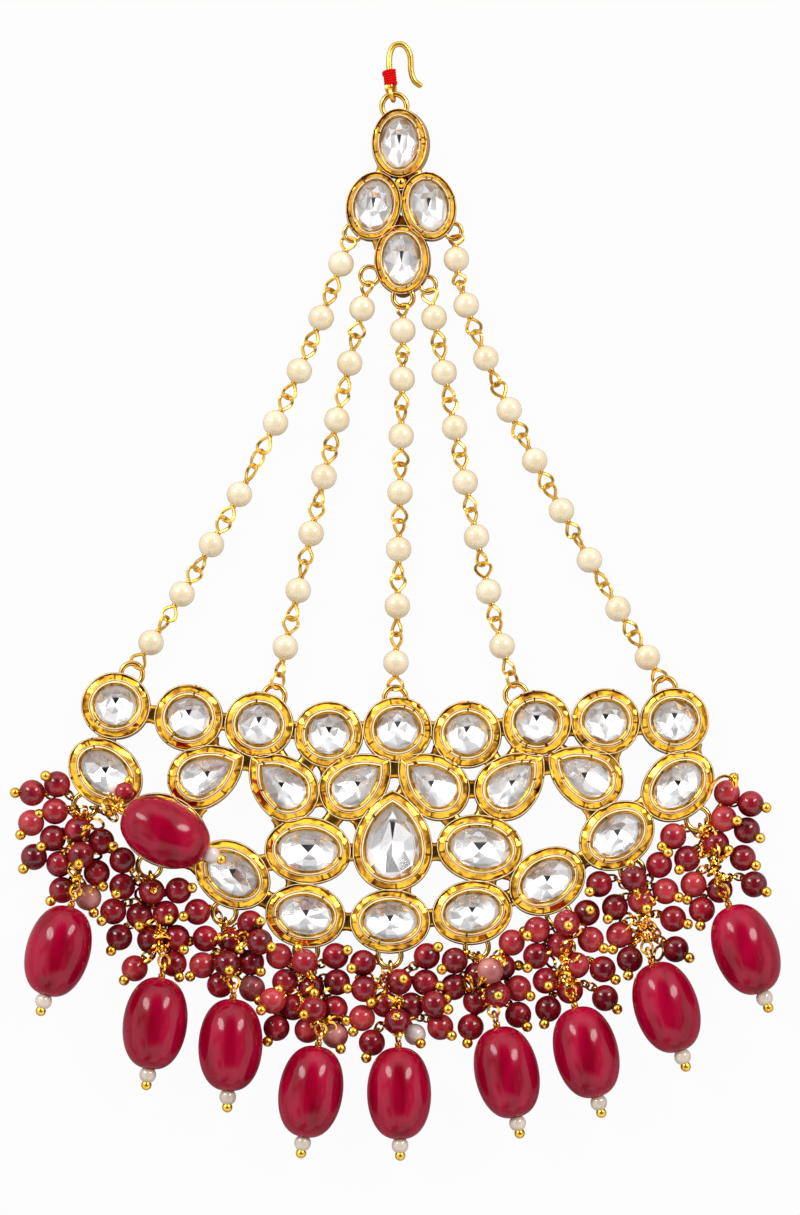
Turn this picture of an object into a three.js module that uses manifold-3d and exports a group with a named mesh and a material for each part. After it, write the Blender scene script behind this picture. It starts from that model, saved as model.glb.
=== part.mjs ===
// Passa: a head ornament worn on one side of the parting. It lies on its back: +Y runs from the bead
// fringe up to the hair hook, +X is the wearer's view to the right, and +Z is the front, away from the
// surface that it lies on. All sizes are in millimetres. The tables place things from the centre of the
// middle round setting, and the whole model is moved at the end so that the origin is the middle of its
// footprint.
import * as THREE from "three";
import { mergeVertices } from "three/addons/utils/BufferGeometryUtils.js";
import Module from "manifold-3d";

const wasm = await Module();
wasm.setup();

// ---------------------------------------------------------------- driving dimensions
const SETTING_HEIGHT = 3.0; // back to the top of a bezel
const ARC_BEZEL = 1.35; // outer edge of a setting to the wall of its recess
const CROWN_BEZEL = 0.95;
const BEZEL_SLOPE = 0.4; // how far the bezel's wall leans in by its top
const SEAT_HEIGHT = 1.6; // floor of the recess
const STONE_CLEARANCE = 0.27; // wall of a recess to the girdle of its stone
const STONE_HEIGHTS = { girdle: 1.9, table: 3.2 };
const STONE_SLOPE = 0.9; // how far the table's edge lies inside the girdle
const SETTING_SIDES = 10;
const STONE_SIDES = 8;

const BAR = { width: 2.7, low: 0.3, high: 1.4, bite: 0.75, reach: 1.25 }; // solder bar between settings
const RING_HEIGHT = 1.25; // middle of every jump ring above the surface
const LINK = { radius: 0.8, wire: 0.2, sides: 4, bite: 0.07 }; // eye that goes round a jump ring's wire

const PEARL_RADIUS = 1.6;
const PEARL_SIDES = 5;
const PEARL_PROFILE = [[-0.97, 0.19], [-0.45, 0.89], [0.45, 0.89], [0.97, 0.19]]; // in pearl radii
const THREAD_RADIUS = 0.3;

const BEAD_RADIUS = 1.65;
const DROP = { radius: 4.0, half: 5.75 };
const DROP_PEARL = { radius: 1.05, reach: 6.45 }; // reach: from the centre of the drop
const DROP_BALL = { radius: 0.68, reach: 7.75 };
const DROP_SIDES = 7;
const NECK_RADIUS = 0.28;
const GAP = 0.3; // between pieces that touch on the real thing

const SLIVER = 0.03; // detail under this size is left out where solids are joined

const HOOK_WIRE = 0.38;
const WRAP = { inner: 0.62, outer: 0.93, low: 80.85, high: 82.75 };
const HOOK_EYE = { radius: 0.78, wire: 0.2 };

// ---------------------------------------------------------------- tables
// Ovals and rounds: x, y of the centre, tilt of the long axis from +X in degrees.
// Pears: x, y of the centre of the round end, tilt of the point from +X in degrees.
const ROUND = { length: 8.7, width: 8.4, bezel: ARC_BEZEL };
const OVAL = { length: 10.1, width: 8.1, bezel: ARC_BEZEL };
const WIDE_OVAL = { length: 10.9, width: 8.5, bezel: ARC_BEZEL };
const BROAD_OVAL = { length: 11.4, width: 8.9, bezel: ARC_BEZEL };
const SMALL_OVAL = { length: 8.7, width: 6.9, bezel: CROWN_BEZEL };
const PEAR = { radius: 3.9, point: 6.45, bezel: ARC_BEZEL };
const LARGE_PEAR = { radius: 5.05, point: 7.7, bezel: ARC_BEZEL };

const ARC_SETTINGS = [
  { name: "round_1", size: ROUND, x: -35.2, y: 3.0, tilt: 0 },
  { name: "round_2", size: ROUND, x: -26.1, y: 1.5, tilt: 0 },
  { name: "round_3", size: ROUND, x: -17.3, y: 0.6, tilt: 0 },
  { name: "round_4", size: ROUND, x: -8.6, y: -0.6, tilt: 0 },
  { name: "round_5", size: ROUND, x: 0.0, y: 0.0, tilt: 0 },
  { name: "round_6", size: ROUND, x: 8.7, y: -0.6, tilt: 0 },
  { name: "round_7", size: ROUND, x: 17.4, y: 0.8, tilt: 0 },
  { name: "round_8", size: ROUND, x: 26.0, y: 1.0, tilt: 0 },
  { name: "round_9", size: ROUND, x: 34.6, y: 1.1, tilt: 0 },
  { name: "pear_1", size: PEAR, x: -24.9, y: -6.1, tilt: 26 },
  { name: "pear_2", size: PEAR, x: -13.6, y: -7.7, tilt: 138 },
  { name: "pear_3", size: PEAR, x: -6.0, y: -7.5, tilt: 37 },
  { name: "pear_4", size: PEAR, x: 5.2, y: -7.5, tilt: 142 },
  { name: "pear_5", size: PEAR, x: 13.4, y: -7.5, tilt: 42 },
  { name: "pear_6", size: PEAR, x: 24.4, y: -6.3, tilt: 151 },
  { name: "pear_large", size: LARGE_PEAR, x: -0.6, y: -15.2, tilt: 90 },
  { name: "oval_1", size: OVAL, x: -36.5, y: -5.4, tilt: -39 },
  { name: "oval_2", size: BROAD_OVAL, x: -29.1, y: -12.6, tilt: -28 },
  { name: "oval_3", size: OVAL, x: -20.6, y: -18.1, tilt: -35 },
  { name: "oval_4", size: OVAL, x: -11.5, y: -23.2, tilt: -9 },
  { name: "oval_5", size: OVAL, x: -0.9, y: -23.9, tilt: 0 },
  { name: "oval_6", size: OVAL, x: 9.3, y: -22.8, tilt: 9 },
  { name: "oval_7", size: OVAL, x: 18.7, y: -18.9, tilt: 31 },
  { name: "oval_8", size: OVAL, x: 27.4, y: -13.2, tilt: 35 },
  { name: "oval_9", size: OVAL, x: 35.0, y: -7.0, tilt: 42 },
  { name: "oval_wide_left", size: WIDE_OVAL, x: -11.2, y: -15.1, tilt: -3 },
  { name: "oval_wide_right", size: WIDE_OVAL, x: 10.3, y: -14.8, tilt: -7 },
];

const CROWN_SETTINGS = [
  { name: "crown_top", size: SMALL_OVAL, x: 0.2, y: 73.5, tilt: 90 },
  { name: "crown_left", size: SMALL_OVAL, x: -3.0, y: 65.6, tilt: 79 },
  { name: "crown_right", size: SMALL_OVAL, x: 3.9, y: 65.6, tilt: 102 },
  { name: "crown_foot", size: SMALL_OVAL, x: 0.5, y: 58.9, tilt: 90 },
];

// Jump rings soldered to the settings: centre, radius of the ring's middle line and of its wire.
const ARC_TOP_RING = { radius: 1.35, wire: 0.27 };
const ARC_FOOT_RING = { radius: 1.45, wire: 0.27 };
const ARC_RINGS = [
  { x: -33.2, y: 7.0, ...ARC_TOP_RING },
  { x: -15.4, y: 4.2, ...ARC_TOP_RING },
  { x: -0.3, y: 4.0, ...ARC_TOP_RING },
  { x: 14.8, y: 4.4, ...ARC_TOP_RING },
  { x: 33.4, y: 5.2, ...ARC_TOP_RING },
  { x: -39.0, y: -9.4, ...ARC_FOOT_RING },
  { x: -31.0, y: -17.0, ...ARC_FOOT_RING },
  { x: -21.6, y: -22.8, ...ARC_FOOT_RING },
  { x: -11.4, y: -27.6, ...ARC_FOOT_RING },
  { x: -1.0, y: -28.2, ...ARC_FOOT_RING },
  { x: 9.9, y: -27.1, ...ARC_FOOT_RING },
  { x: 20.1, y: -23.1, ...ARC_FOOT_RING },
  { x: 29.3, y: -17.6, ...ARC_FOOT_RING },
  { x: 37.5, y: -11.1, ...ARC_FOOT_RING },
];
const CROWN_TOP_RING = { x: -0.4, y: 78.2, radius: 1.55, wire: 0.3 };
const CROWN_BALL = { x: 0.4, y: 68.3, z: 2.1, radius: 1.15 };
const CROWN_RINGS = [
  CROWN_TOP_RING,
  { x: -5.6, y: 62.3, radius: 1.05, wire: 0.22 },
  { x: -3.5, y: 56.9, radius: 1.15, wire: 0.22 },
  { x: 0.7, y: 54.2, radius: 1.25, wire: 0.27 },
  { x: 3.8, y: 55.8, radius: 1.0, wire: 0.22 },
  { x: 7.0, y: 62.5, radius: 1.0, wire: 0.22 },
];

// Pearl strands: the jump rings that each hangs between, how far it bows to the right and how far down
// it bends most, the distance from the upper ring's wire to the first pearl, the distance between the
// first two pearls and between all the others, and the pearl that an extra link follows.
const EXTRA_LINK = 2.8;
const STRANDS = [
  { from: 1, to: 0, bow: 2.3, bend: 0.5, lead: 3.15, first: 7.2, pitch: 7.2, pearls: 8, extra: 4 },
  { from: 2, to: 1, bow: 0.0, bend: 0.5, lead: 3.1, first: 7.0, pitch: 7.3, pearls: 7 },
  { from: 3, to: 2, bow: 0.1, bend: 0.2, lead: 2.95, first: 6.1, pitch: 7.1, pearls: 7 },
  { from: 4, to: 3, bow: -0.7, bend: 0.8, lead: 3.25, first: 7.0, pitch: 7.0, pearls: 7 },
  { from: 5, to: 4, bow: -3.4, bend: 0.2, lead: 2.65, first: 5.9, pitch: 7.1, pearls: 9 },
];

// Ruby drops: centre and the way that the point of each hangs, in degrees from +X.
const DROPS = [
  { name: "drop_1", x: -42.3, y: -27.7, hangs: -106 },
  { name: "drop_2", x: -30.2, y: -36.7, hangs: -98 },
  { name: "drop_3", x: -20.8, y: -39.4, hangs: -93 },
  { name: "drop_4", x: -10.8, y: -45.2, hangs: -99 },
  { name: "drop_5", x: 0.2, y: -45.4, hangs: -89 },
  { name: "drop_6", x: 13.6, y: -42.8, hangs: -78 },
  { name: "drop_7", x: 23.5, y: -40.3, hangs: -76 },
  { name: "drop_8", x: 33.5, y: -34.7, hangs: -72 },
  { name: "drop_9", x: 43.4, y: -27.5, hangs: -69 },
  { name: "drop_turned_up", x: -28.9, y: -13.0, hangs: -26, onTop: true },
];

// The fringe: one sprig of small beads for each drop, on the chain from a jump ring to the drop's eye.
// Each pair is the x and y of a bead, those that lie underneath first.
const SPRIGS = [
  {
    name: "fringe_1",
    ring: 5,
    beads: [
      [-42.0, -17.1], [-39.4, -12.7], [-45.4, -7.8], [-42.1, -6.6], [-45.6, -11.7],
      [-44.5, -16.0], [-41.7, -20.1], [-37.6, -18.4], [-38.6, -21.6], [-42.8, -10.2], [-43.0, -13.8],
      [-40.2, -16.3], [-37.1, -14.1],
    ],
  },
  {
    name: "fringe_2",
    ring: 6,
    beads: [
      [-30.9, -26.2], [-34.4, -15.8], [-30.6, -20.0], [-27.4, -20.6], [-32.8, -29.8], [-28.1, -29.7],
      [-34.6, -19.0], [-35.4, -22.2], [-32.3, -23.1], [-34.8, -25.6], [-29.0, -23.5], [-27.6, -25.8],
    ],
  },
  {
    name: "fringe_3",
    ring: 7,
    beads: [
      [-21.6, -31.9], [-24.7, -22.6], [-24.3, -26.1], [-24.7, -29.6], [-18.7, -24.1], [-18.4, -32.7],
      [-17.7, -29.6], [-17.2, -26.2], [-20.7, -26.7], [-21.4, -29.5],
    ],
  },
  {
    name: "fringe_4",
    ring: 8,
    beads: [
      [-12.9, -34.3], [-11.2, -37.4], [-14.7, -28.5], [-15.1, -33.9], [-15.0, -37.1], [-11.5, -28.9],
      [-7.7, -28.0], [-7.7, -31.1], [-7.9, -34.8], [-8.1, -38.4], [-13.8, -30.9], [-10.9, -32.3],
      [-11.0, -34.9],
    ],
  },
  {
    name: "fringe_5",
    ring: 9,
    beads: [
      [-1.8, -34.0], [1.4, -34.5], [0.6, -35.9], [-4.4, -29.2], [-4.2, -35.7], [-3.2, -39.0],
      [3.3, -28.0], [3.4, -30.9], [3.8, -34.1], [4.8, -37.2], [2.1, -38.3], [-3.9, -32.5],
      [0.6, -32.2],
    ],
  },
  {
    name: "fringe_6",
    ring: 10,
    beads: [
      [10.1, -30.4], [10.1, -33.6], [7.0, -28.8], [7.3, -32.2], [9.4, -36.5], [13.7, -26.5],
      [13.8, -29.1], [14.6, -31.6], [14.8, -35.7], [11.8, -30.3], [12.0, -33.0],
    ],
  },
  {
    name: "fringe_7",
    ring: 11,
    beads: [
      [22.3, -30.0], [21.3, -32.7], [20.4, -27.1], [16.2, -24.4], [17.0, -27.7], [18.9, -34.9],
      [24.2, -26.2], [24.9, -29.7], [25.9, -33.5], [18.5, -31.5], [23.7, -22.9], [20.5, -24.2],
    ],
  },
  {
    name: "fringe_8",
    ring: 12,
    beads: [
      [25.1, -19.1], [26.9, -22.2], [27.6, -25.7], [28.9, -28.8], [32.5, -16.9], [33.7, -20.1],
      [34.4, -23.6], [34.7, -27.4], [29.1, -18.0], [30.2, -20.9],
    ],
  },
  {
    name: "fringe_9",
    ring: 13,
    beads: [
      [39.9, -20.1], [40.0, -8.3], [34.7, -13.1], [35.9, -15.9], [36.8, -19.1], [38.1, -22.3],
      [43.3, -8.9], [40.6, -10.7], [43.5, -12.5], [43.1, -16.0], [44.5, -19.3], [39.8, -14.2],
    ],
  },
  { name: "fringe_turned_up", ring: 5, leaves: [2.8, -1.2], height: 5.1, beads: [[-33.9, -8.1]] },
];

// Hair hook: the line of its wire from the eye, over the top and down to the flick at its end.
const HOOK_ROUTE = [
  { x: -0.8, y: 80.4, z: 1.25 },
  { x: -1.0, y: 82.5, z: 1.1 },
  { x: -1.0, y: 84.6, z: 0.7 },
  { x: -0.45, y: 85.9, z: 0.5 },
  { x: 0.7, y: 86.0, z: 0.45 },
  { x: 1.55, y: 84.8, z: 0.45 },
  { x: 1.7, y: 82.7, z: 0.45 },
  { x: 2.15, y: 81.45, z: 0.45 },
  { x: 3.05, y: 80.75, z: 0.45 },
];

// ---------------------------------------------------------------- materials
function metal(color) {
  return new THREE.MeshStandardMaterial({ color, metalness: 1, roughness: 0.2 });
}
const GOLD = metal(0xe0a535);
const CRYSTAL = new THREE.MeshStandardMaterial({ color: 0xf1f1f3, metalness: 0, roughness: 0.03 });
const RUBY = new THREE.MeshStandardMaterial({ color: 0x9c0a2a, metalness: 0, roughness: 0.08 });
const PEARL = new THREE.MeshStandardMaterial({ color: 0xf0e2c8, metalness: 0, roughness: 0.22 });
const THREAD = new THREE.MeshStandardMaterial({ color: 0xb8141c, metalness: 0, roughness: 0.85 });

// ---------------------------------------------------------------- solids
function solidOf(geometry) {
  const bare = geometry.clone();
  bare.deleteAttribute("normal");
  bare.deleteAttribute("uv");
  const merged = mergeVertices(bare, 1e-4);
  return new wasm.Manifold(
    new wasm.Mesh({
      numProp: 3,
      vertProperties: merged.attributes.position.array,
      triVerts: new Uint32Array(merged.index.array),
    }),
  );
}

function geometryOf(solid) {
  const mesh = solid.getMesh();
  const geometry = new THREE.BufferGeometry();
  geometry.setAttribute("position", new THREE.BufferAttribute(mesh.vertProperties, 3));
  geometry.setIndex(new THREE.BufferAttribute(mesh.triVerts, 1));
  geometry.computeVertexNormals();
  return geometry;
}

// Solids joined into one body, with the slivers of the join cleaned away.
function joined(geometries) {
  return geometryOf(wasm.Manifold.union(geometries.map(solidOf)).asOriginal().simplify(SLIVER));
}

// A closed body through loops of equally many points, from the lowest cap to the highest.
function loft(loops) {
  const count = loops[0].length;
  const positions = loops.flat().flatMap((point) => [point.x, point.y, point.z]);
  const faces = [];
  const last = (loops.length - 1) * count;
  for (let i = 1; i < count - 1; i += 1) {
    faces.push(0, i + 1, i);
    faces.push(last, last + i, last + i + 1);
  }
  for (let level = 0; level < loops.length - 1; level += 1) {
    for (let i = 0; i < count; i += 1) {
      const a = level * count + i;
      const b = level * count + ((i + 1) % count);
      faces.push(a, b, b + count, a, b + count, a + count);
    }
  }
  const geometry = new THREE.BufferGeometry();
  geometry.setAttribute("position", new THREE.Float32BufferAttribute(positions, 3));
  geometry.setIndex(faces);
  return geometry;
}

// A straight bar with that many sides from one point to another.
function rod(from, to, radius, sides) {
  const line = to.clone().sub(from);
  const geometry = new THREE.CylinderGeometry(radius, radius, line.length(), sides);
  const turn = new THREE.Quaternion().setFromUnitVectors(
    new THREE.Vector3(0, 1, 0),
    line.clone().normalize(),
  );
  geometry.applyQuaternion(turn);
  return geometry.translate(...from.clone().addScaledVector(line, 0.5).toArray());
}

// A small bead in eight faces, with one corner drawn out to the place that it hangs from.
function taperedBead(centre, hold) {
  const geometry = new THREE.OctahedronGeometry(BEAD_RADIUS, 0);
  const corners = geometry.attributes.position;
  const line = hold.at.clone().sub(centre);
  const reach = line.length() - 0.1 * hold.radius;
  for (let i = 0; i < corners.count; i += 1) {
    if (corners.getY(i) > 0.9 * BEAD_RADIUS) corners.setY(i, reach);
  }
  const up = new THREE.Vector3(0, 1, 0);
  geometry.applyQuaternion(new THREE.Quaternion().setFromUnitVectors(up, line.normalize()));
  return geometry.translate(...centre.toArray());
}

// A wire ring that lies flat.
function jumpRing({ x, y, radius, wire }) {
  return new THREE.TorusGeometry(radius, wire, 3, 7).translate(x, y, RING_HEIGHT);
}

// An upright wire eye in the plane of the line that leaves it.
function eye(centre, heading) {
  const geometry = new THREE.TorusGeometry(LINK.radius, LINK.wire, 3, LINK.sides);
  geometry.rotateX(Math.PI / 2);
  geometry.rotateZ(heading);
  return geometry.translate(...centre.toArray());
}

// ---------------------------------------------------------------- outlines
function ovalOutline({ length, width }, inset, sides) {
  const points = [];
  for (let i = 0; i < sides; i += 1) {
    const angle = (2 * Math.PI * i) / sides;
    points.push([
      (length / 2 - inset) * Math.cos(angle),
      (width / 2 - inset) * Math.sin(angle),
    ]);
  }
  return points;
}

// A round end and two side arcs that touch it and meet in the point, all drawn in by the inset.
function pearOutline({ radius, point }, inset, sides) {
  const drop = (point ** 2 - radius ** 2) / (2 * radius); // of a side arc's centre below the axis
  const side = drop + radius - inset;
  const tip = Math.asin(drop / side);
  const arcSteps = Math.round(sides / 4);
  const roundSteps = sides - 2 * arcSteps;
  const points = [];
  for (let i = 0; i < arcSteps; i += 1) {
    const angle = tip + ((Math.PI / 2 - tip) * i) / arcSteps;
    points.push([side * Math.cos(angle), side * Math.sin(angle) - drop]);
  }
  for (let i = 0; i < roundSteps; i += 1) {
    const angle = Math.PI / 2 + (Math.PI * i) / roundSteps;
    points.push([(radius - inset) * Math.cos(angle), (radius - inset) * Math.sin(angle)]);
  }
  for (let i = arcSteps; i > 0; i -= 1) {
    const angle = tip + ((Math.PI / 2 - tip) * i) / arcSteps;
    points.push([side * Math.cos(angle), drop - side * Math.sin(angle)]);
  }
  return points;
}

// A setting's outline in place, drawn in by the inset, at one height.
function outline(setting, inset, height, sides) {
  const draw = setting.size.point ? pearOutline : ovalOutline;
  const turn = THREE.MathUtils.degToRad(setting.tilt);
  return draw(setting.size, inset, sides).map(
    ([u, v]) =>
      new THREE.Vector3(
        setting.x + u * Math.cos(turn) - v * Math.sin(turn),
        setting.y + u * Math.sin(turn) + v * Math.cos(turn),
        height,
      ),
  );
}

// ---------------------------------------------------------------- gold frames and stones
function settingCup(setting) {
  return loft([
    outline(setting, 0, 0, SETTING_SIDES),
    outline(setting, BEZEL_SLOPE, SETTING_HEIGHT, SETTING_SIDES),
    outline(setting, setting.size.bezel, SETTING_HEIGHT, SETTING_SIDES),
    outline(setting, setting.size.bezel, SEAT_HEIGHT, SETTING_SIDES),
  ]);
}

function stoneSolid(setting) {
  const { girdle, table } = STONE_HEIGHTS;
  const inset = setting.size.bezel + STONE_CLEARANCE;
  return loft([
    outline(setting, inset, girdle, STONE_SIDES),
    outline(setting, inset + STONE_SLOPE, table, STONE_SIDES),
  ]);
}

// A solder bar where two settings come close, or nothing where they don't.
function solderBar(one, other) {
  const fine = 48;
  let nearest = { gap: Infinity };
  for (const a of outline(one, 0, 0, fine)) {
    for (const b of outline(other, 0, 0, fine)) {
      const gap = a.distanceTo(b);
      if (gap < nearest.gap) nearest = { gap, a, b };
    }
  }
  if (nearest.gap > BAR.reach) return [];
  const across = new THREE.Vector3(other.x - one.x, other.y - one.y, 0).normalize();
  const middle = nearest.a.clone().add(nearest.b).multiplyScalar(0.5);
  const end = (sign) => {
    const reach = sign * (nearest.gap / 2 + BAR.bite);
    return [[-1, BAR.low], [1, BAR.low], [0, BAR.high]].map(
      ([side, height]) =>
        new THREE.Vector3(
          middle.x + across.x * reach - (side * across.y * BAR.width) / 2,
          middle.y + across.y * reach + (side * across.x * BAR.width) / 2,
          height,
        ),
    );
  };
  return [loft([end(-1), end(1)])];
}

function frameOf(settings, rings, extras = []) {
  const bars = settings.flatMap((one, i) =>
    settings.slice(i + 1).flatMap((other) => solderBar(one, other)),
  );
  return joined([...settings.map(settingCup), ...bars, ...rings.map(jumpRing), ...extras]);
}

// ---------------------------------------------------------------- pearl strands
// Where a line that leaves a ring towards a point crosses the ring's wire.
function ringExit(ring, towards) {
  const heading = Math.atan2(towards.y - ring.y, towards.x - ring.x);
  return {
    heading,
    point: new THREE.Vector3(
      ring.x + ring.radius * Math.cos(heading),
      ring.y + ring.radius * Math.sin(heading),
      RING_HEIGHT,
    ),
  };
}

function strandSolid({ from, to, bow, bend, lead, first, pitch, pearls, extra }) {
  const upper = ringExit(CROWN_RINGS[from], ARC_RINGS[to]);
  const lower = ringExit(ARC_RINGS[to], CROWN_RINGS[from]);
  const control = upper.point.clone().lerp(lower.point, bend);
  control.x += 2 * bow;
  control.z = PEARL_RADIUS;
  const route = new THREE.QuadraticBezierCurve3(upper.point, control, lower.point);
  const length = route.getLength();
  const stations = [{ along: LINK.radius - LINK.bite, radius: THREAD_RADIUS }];
  let along = lead;
  for (let i = 0; i < pearls; i += 1) {
    for (const [ahead, radius] of PEARL_PROFILE) {
      stations.push({ along: along + ahead * PEARL_RADIUS, radius: radius * PEARL_RADIUS });
    }
    along += i === 0 ? first : pitch;
    if (i + 1 === extra) along += EXTRA_LINK;
  }
  stations.push({ along: length - LINK.radius + LINK.bite, radius: THREAD_RADIUS });
  const loops = stations.map((station) => {
    const centre = route.getPointAt(station.along / length);
    const height = station.radius > THREAD_RADIUS ? PEARL_RADIUS : centre.z;
    const ahead = route.getTangentAt(station.along / length).setZ(0).normalize();
    return Array.from({ length: PEARL_SIDES }, (_, i) => {
      const angle = (2 * Math.PI * (i + 0.5)) / PEARL_SIDES - Math.PI / 2;
      const sideways = station.radius * Math.cos(angle);
      return new THREE.Vector3(
        centre.x - ahead.y * sideways,
        centre.y + ahead.x * sideways,
        height + station.radius * Math.sin(angle),
      );
    });
  });
  const heading = (share) => {
    const ahead = route.getTangentAt(share);
    return Math.atan2(ahead.y, ahead.x);
  };
  return joined([eye(upper.point, heading(0)), eye(lower.point, heading(1)), loft(loops)]);
}

// ---------------------------------------------------------------- drops
const DROP_EYE_REACH = DROP.half + 1.3; // centre of a drop to the middle of its eye

function dropPlace({ x, y, hangs, onTop }) {
  const height = onTop ? STONE_HEIGHTS.table + DROP.radius + GAP : DROP.radius;
  const heading = THREE.MathUtils.degToRad(hangs);
  const centre = new THREE.Vector3(x, y, height);
  const ahead = new THREE.Vector3(Math.cos(heading), Math.sin(heading), 0);
  return { centre, heading, ahead, eye: centre.clone().addScaledVector(ahead, -DROP_EYE_REACH) };
}

// Ruby bead, pearl and ball on one pin: a profile of radius against distance, from the ball to the eye.
function dropSolid(drop) {
  const { centre, heading, eye: eyeCentre } = dropPlace(drop);
  const profile = [
    [0, DROP_BALL.reach + DROP_BALL.radius],
    [DROP_BALL.radius, DROP_BALL.reach],
    [NECK_RADIUS, (DROP_BALL.reach + DROP_PEARL.reach + DROP_PEARL.radius - DROP_BALL.radius) / 2],
    [DROP_PEARL.radius, DROP_PEARL.reach],
    [0.6 * DROP_PEARL.radius, DROP.half],
  ];
  const beadSteps = 4;
  for (let i = 1; i < beadSteps; i += 1) {
    const angle = (Math.PI * i) / beadSteps;
    profile.push([DROP.radius * Math.sin(angle) ** 0.8, DROP.half * Math.cos(angle)]);
  }
  profile.push([NECK_RADIUS, -DROP.half]);
  profile.push([0, LINK.radius - DROP_EYE_REACH]);
  const points = profile.map(([radius, reach]) => new THREE.Vector2(radius, -reach));
  const body = new THREE.LatheGeometry(points, DROP_SIDES);
  body.rotateZ(heading + Math.PI / 2);
  body.translate(...centre.toArray());
  return joined([body, eye(eyeCentre, heading)]);
}

// ---------------------------------------------------------------- fringe
// The chain of each sprig, from the eye on its jump ring to the link in the eye of its drop.
function chainOf(sprig, drop) {
  const ring = ARC_RINGS[sprig.ring];
  const place = dropPlace(drop);
  const [right, up] = sprig.leaves ?? [place.eye.x - ring.x, place.eye.y - ring.y];
  const exit = ringExit(ring, { x: ring.x + right, y: ring.y + up });
  const outward = new THREE.Vector3(Math.cos(exit.heading), Math.sin(exit.heading), 0);
  const start = exit.point.clone().addScaledVector(outward, LINK.radius);
  const link = place.eye.clone().addScaledVector(place.ahead, -LINK.radius);
  const sag = start.clone().lerp(link, 0.5);
  if (sprig.leaves) sag.addScaledVector(outward, 2.2);
  sag.z = sprig.leaves ? 3.4 : 1.6;
  const arrival = link.clone().sub(sag).setZ(0).normalize();
  const end = link.clone().addScaledVector(arrival, -LINK.radius);
  const route = new THREE.QuadraticBezierCurve3(start, sag, end);
  return { ring, exit, place, link, arrival, route, length: route.getLength() };
}

// Pushes the beads apart until none lies in another, in a setting, in a drop or in the surface.
function settle(beads, edges, drops) {
  const roundsOfSettling = 400;
  const pull = 0.03;
  const apart = 2 * BEAD_RADIUS;
  for (const bead of beads) {
    for (const lower of beads.slice(0, beads.indexOf(bead))) {
      const flat = Math.hypot(bead.x - lower.x, bead.y - lower.y);
      if (flat < apart - 0.7) {
        bead.z = Math.max(bead.z, lower.z + 0.9 * Math.sqrt(apart ** 2 - flat ** 2));
      }
    }
  }
  const push = (bead, centre, clear) => {
    const line = bead.clone().sub(centre);
    const short = clear - line.length();
    if (short > 0) bead.addScaledVector(line.normalize(), short);
  };
  for (let turn = 0; turn < roundsOfSettling; turn += 1) {
    for (const bead of beads) {
      bead.x += pull * (bead.home.x - bead.x);
      bead.y += pull * (bead.home.y - bead.y);
      bead.z += 0.5 * pull * (bead.home.z - bead.z);
    }
    beads.forEach((one, i) =>
      beads.slice(i + 1).forEach((other) => {
        const clear = apart + (one.sprig === other.sprig ? 0.02 : GAP);
        const line = one.clone().sub(other);
        const short = (clear - line.length()) / 2;
        if (short <= 0) return;
        line.normalize();
        one.addScaledVector(line, short);
        other.addScaledVector(line, -short);
      }),
    );
    for (const bead of beads) {
      for (const { x, y, top, around } of edges) {
        const height = Math.min(bead.z, top);
        push(bead, new THREE.Vector3(x, y, height), BEAD_RADIUS + around + GAP / 2);
      }
      for (const drop of drops) {
        for (const share of [-0.85, -0.6, -0.3, 0, 0.3, 0.6, 0.85]) {
          const bulge = DROP.radius * Math.sqrt(1 - share ** 2);
          const centre = drop.centre.clone().addScaledVector(drop.ahead, share * DROP.half);
          push(bead, centre, bulge + BEAD_RADIUS + GAP / 2);
        }
      }
      bead.z = Math.max(bead.z, BEAD_RADIUS);
    }
  }
}

const chains = SPRIGS.map((sprig, i) => chainOf(sprig, DROPS[i]));
const beads = SPRIGS.flatMap((sprig) =>
  sprig.beads.map(([x, y]) => {
    const bead = new THREE.Vector3(x, y, sprig.height ?? BEAD_RADIUS);
    bead.home = bead.clone();
    bead.sprig = sprig.name;
    return bead;
  }),
);
const settingEdges = ARC_SETTINGS.flatMap((setting) =>
  outline(setting, 0, 0, 40).map(({ x, y }) => ({ x, y, top: SETTING_HEIGHT, around: 0 })),
);
const ringEdges = ARC_RINGS.flatMap(({ x, y, radius, wire }) =>
  Array.from({ length: 16 }, (_, i) => ({
    x: x + radius * Math.cos((Math.PI * i) / 8),
    y: y + radius * Math.sin((Math.PI * i) / 8),
    top: RING_HEIGHT,
    around: wire,
  })),
);
settle(beads, [...settingEdges, ...ringEdges], DROPS.map(dropPlace));

// The chain of a sprig with its beads, each hung from the nearest place that already holds.
function sprigSolid(sprig, { route, exit, place, link, arrival }) {
  const lastLink = new THREE.TorusGeometry(LINK.radius, LINK.wire, 3, LINK.sides);
  lastLink.rotateZ(Math.atan2(arrival.y, arrival.x)).translate(...link.toArray());
  const places = [0, 0.5, 1].map((share) => route.getPointAt(share));
  const chain = places.slice(1).map((stop, i) => rod(places[i], stop, THREAD_RADIUS, 3));
  const parts = [eye(exit.point, exit.heading), lastLink, ...chain];
  const holds = [0.1, 0.3, 0.5, 0.7, 0.9].map((share) => ({ at: route.getPointAt(share), radius: 0 }));
  let loose = beads.filter((bead) => bead.sprig === sprig.name);
  while (loose.length > 0) {
    const reach = ({ at, radius }, bead) => at.distanceTo(bead) - radius;
    const pairs = loose.flatMap((bead) => holds.map((hold) => ({ bead, hold })));
    pairs.sort((one, other) => reach(one.hold, one.bead) - reach(other.hold, other.bead));
    const [{ bead, hold }] = pairs;
    parts.push(taperedBead(bead, hold));
    holds.push({ at: bead, radius: BEAD_RADIUS });
    loose = loose.filter((other) => other !== bead);
  }
  return joined(parts);
}

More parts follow.
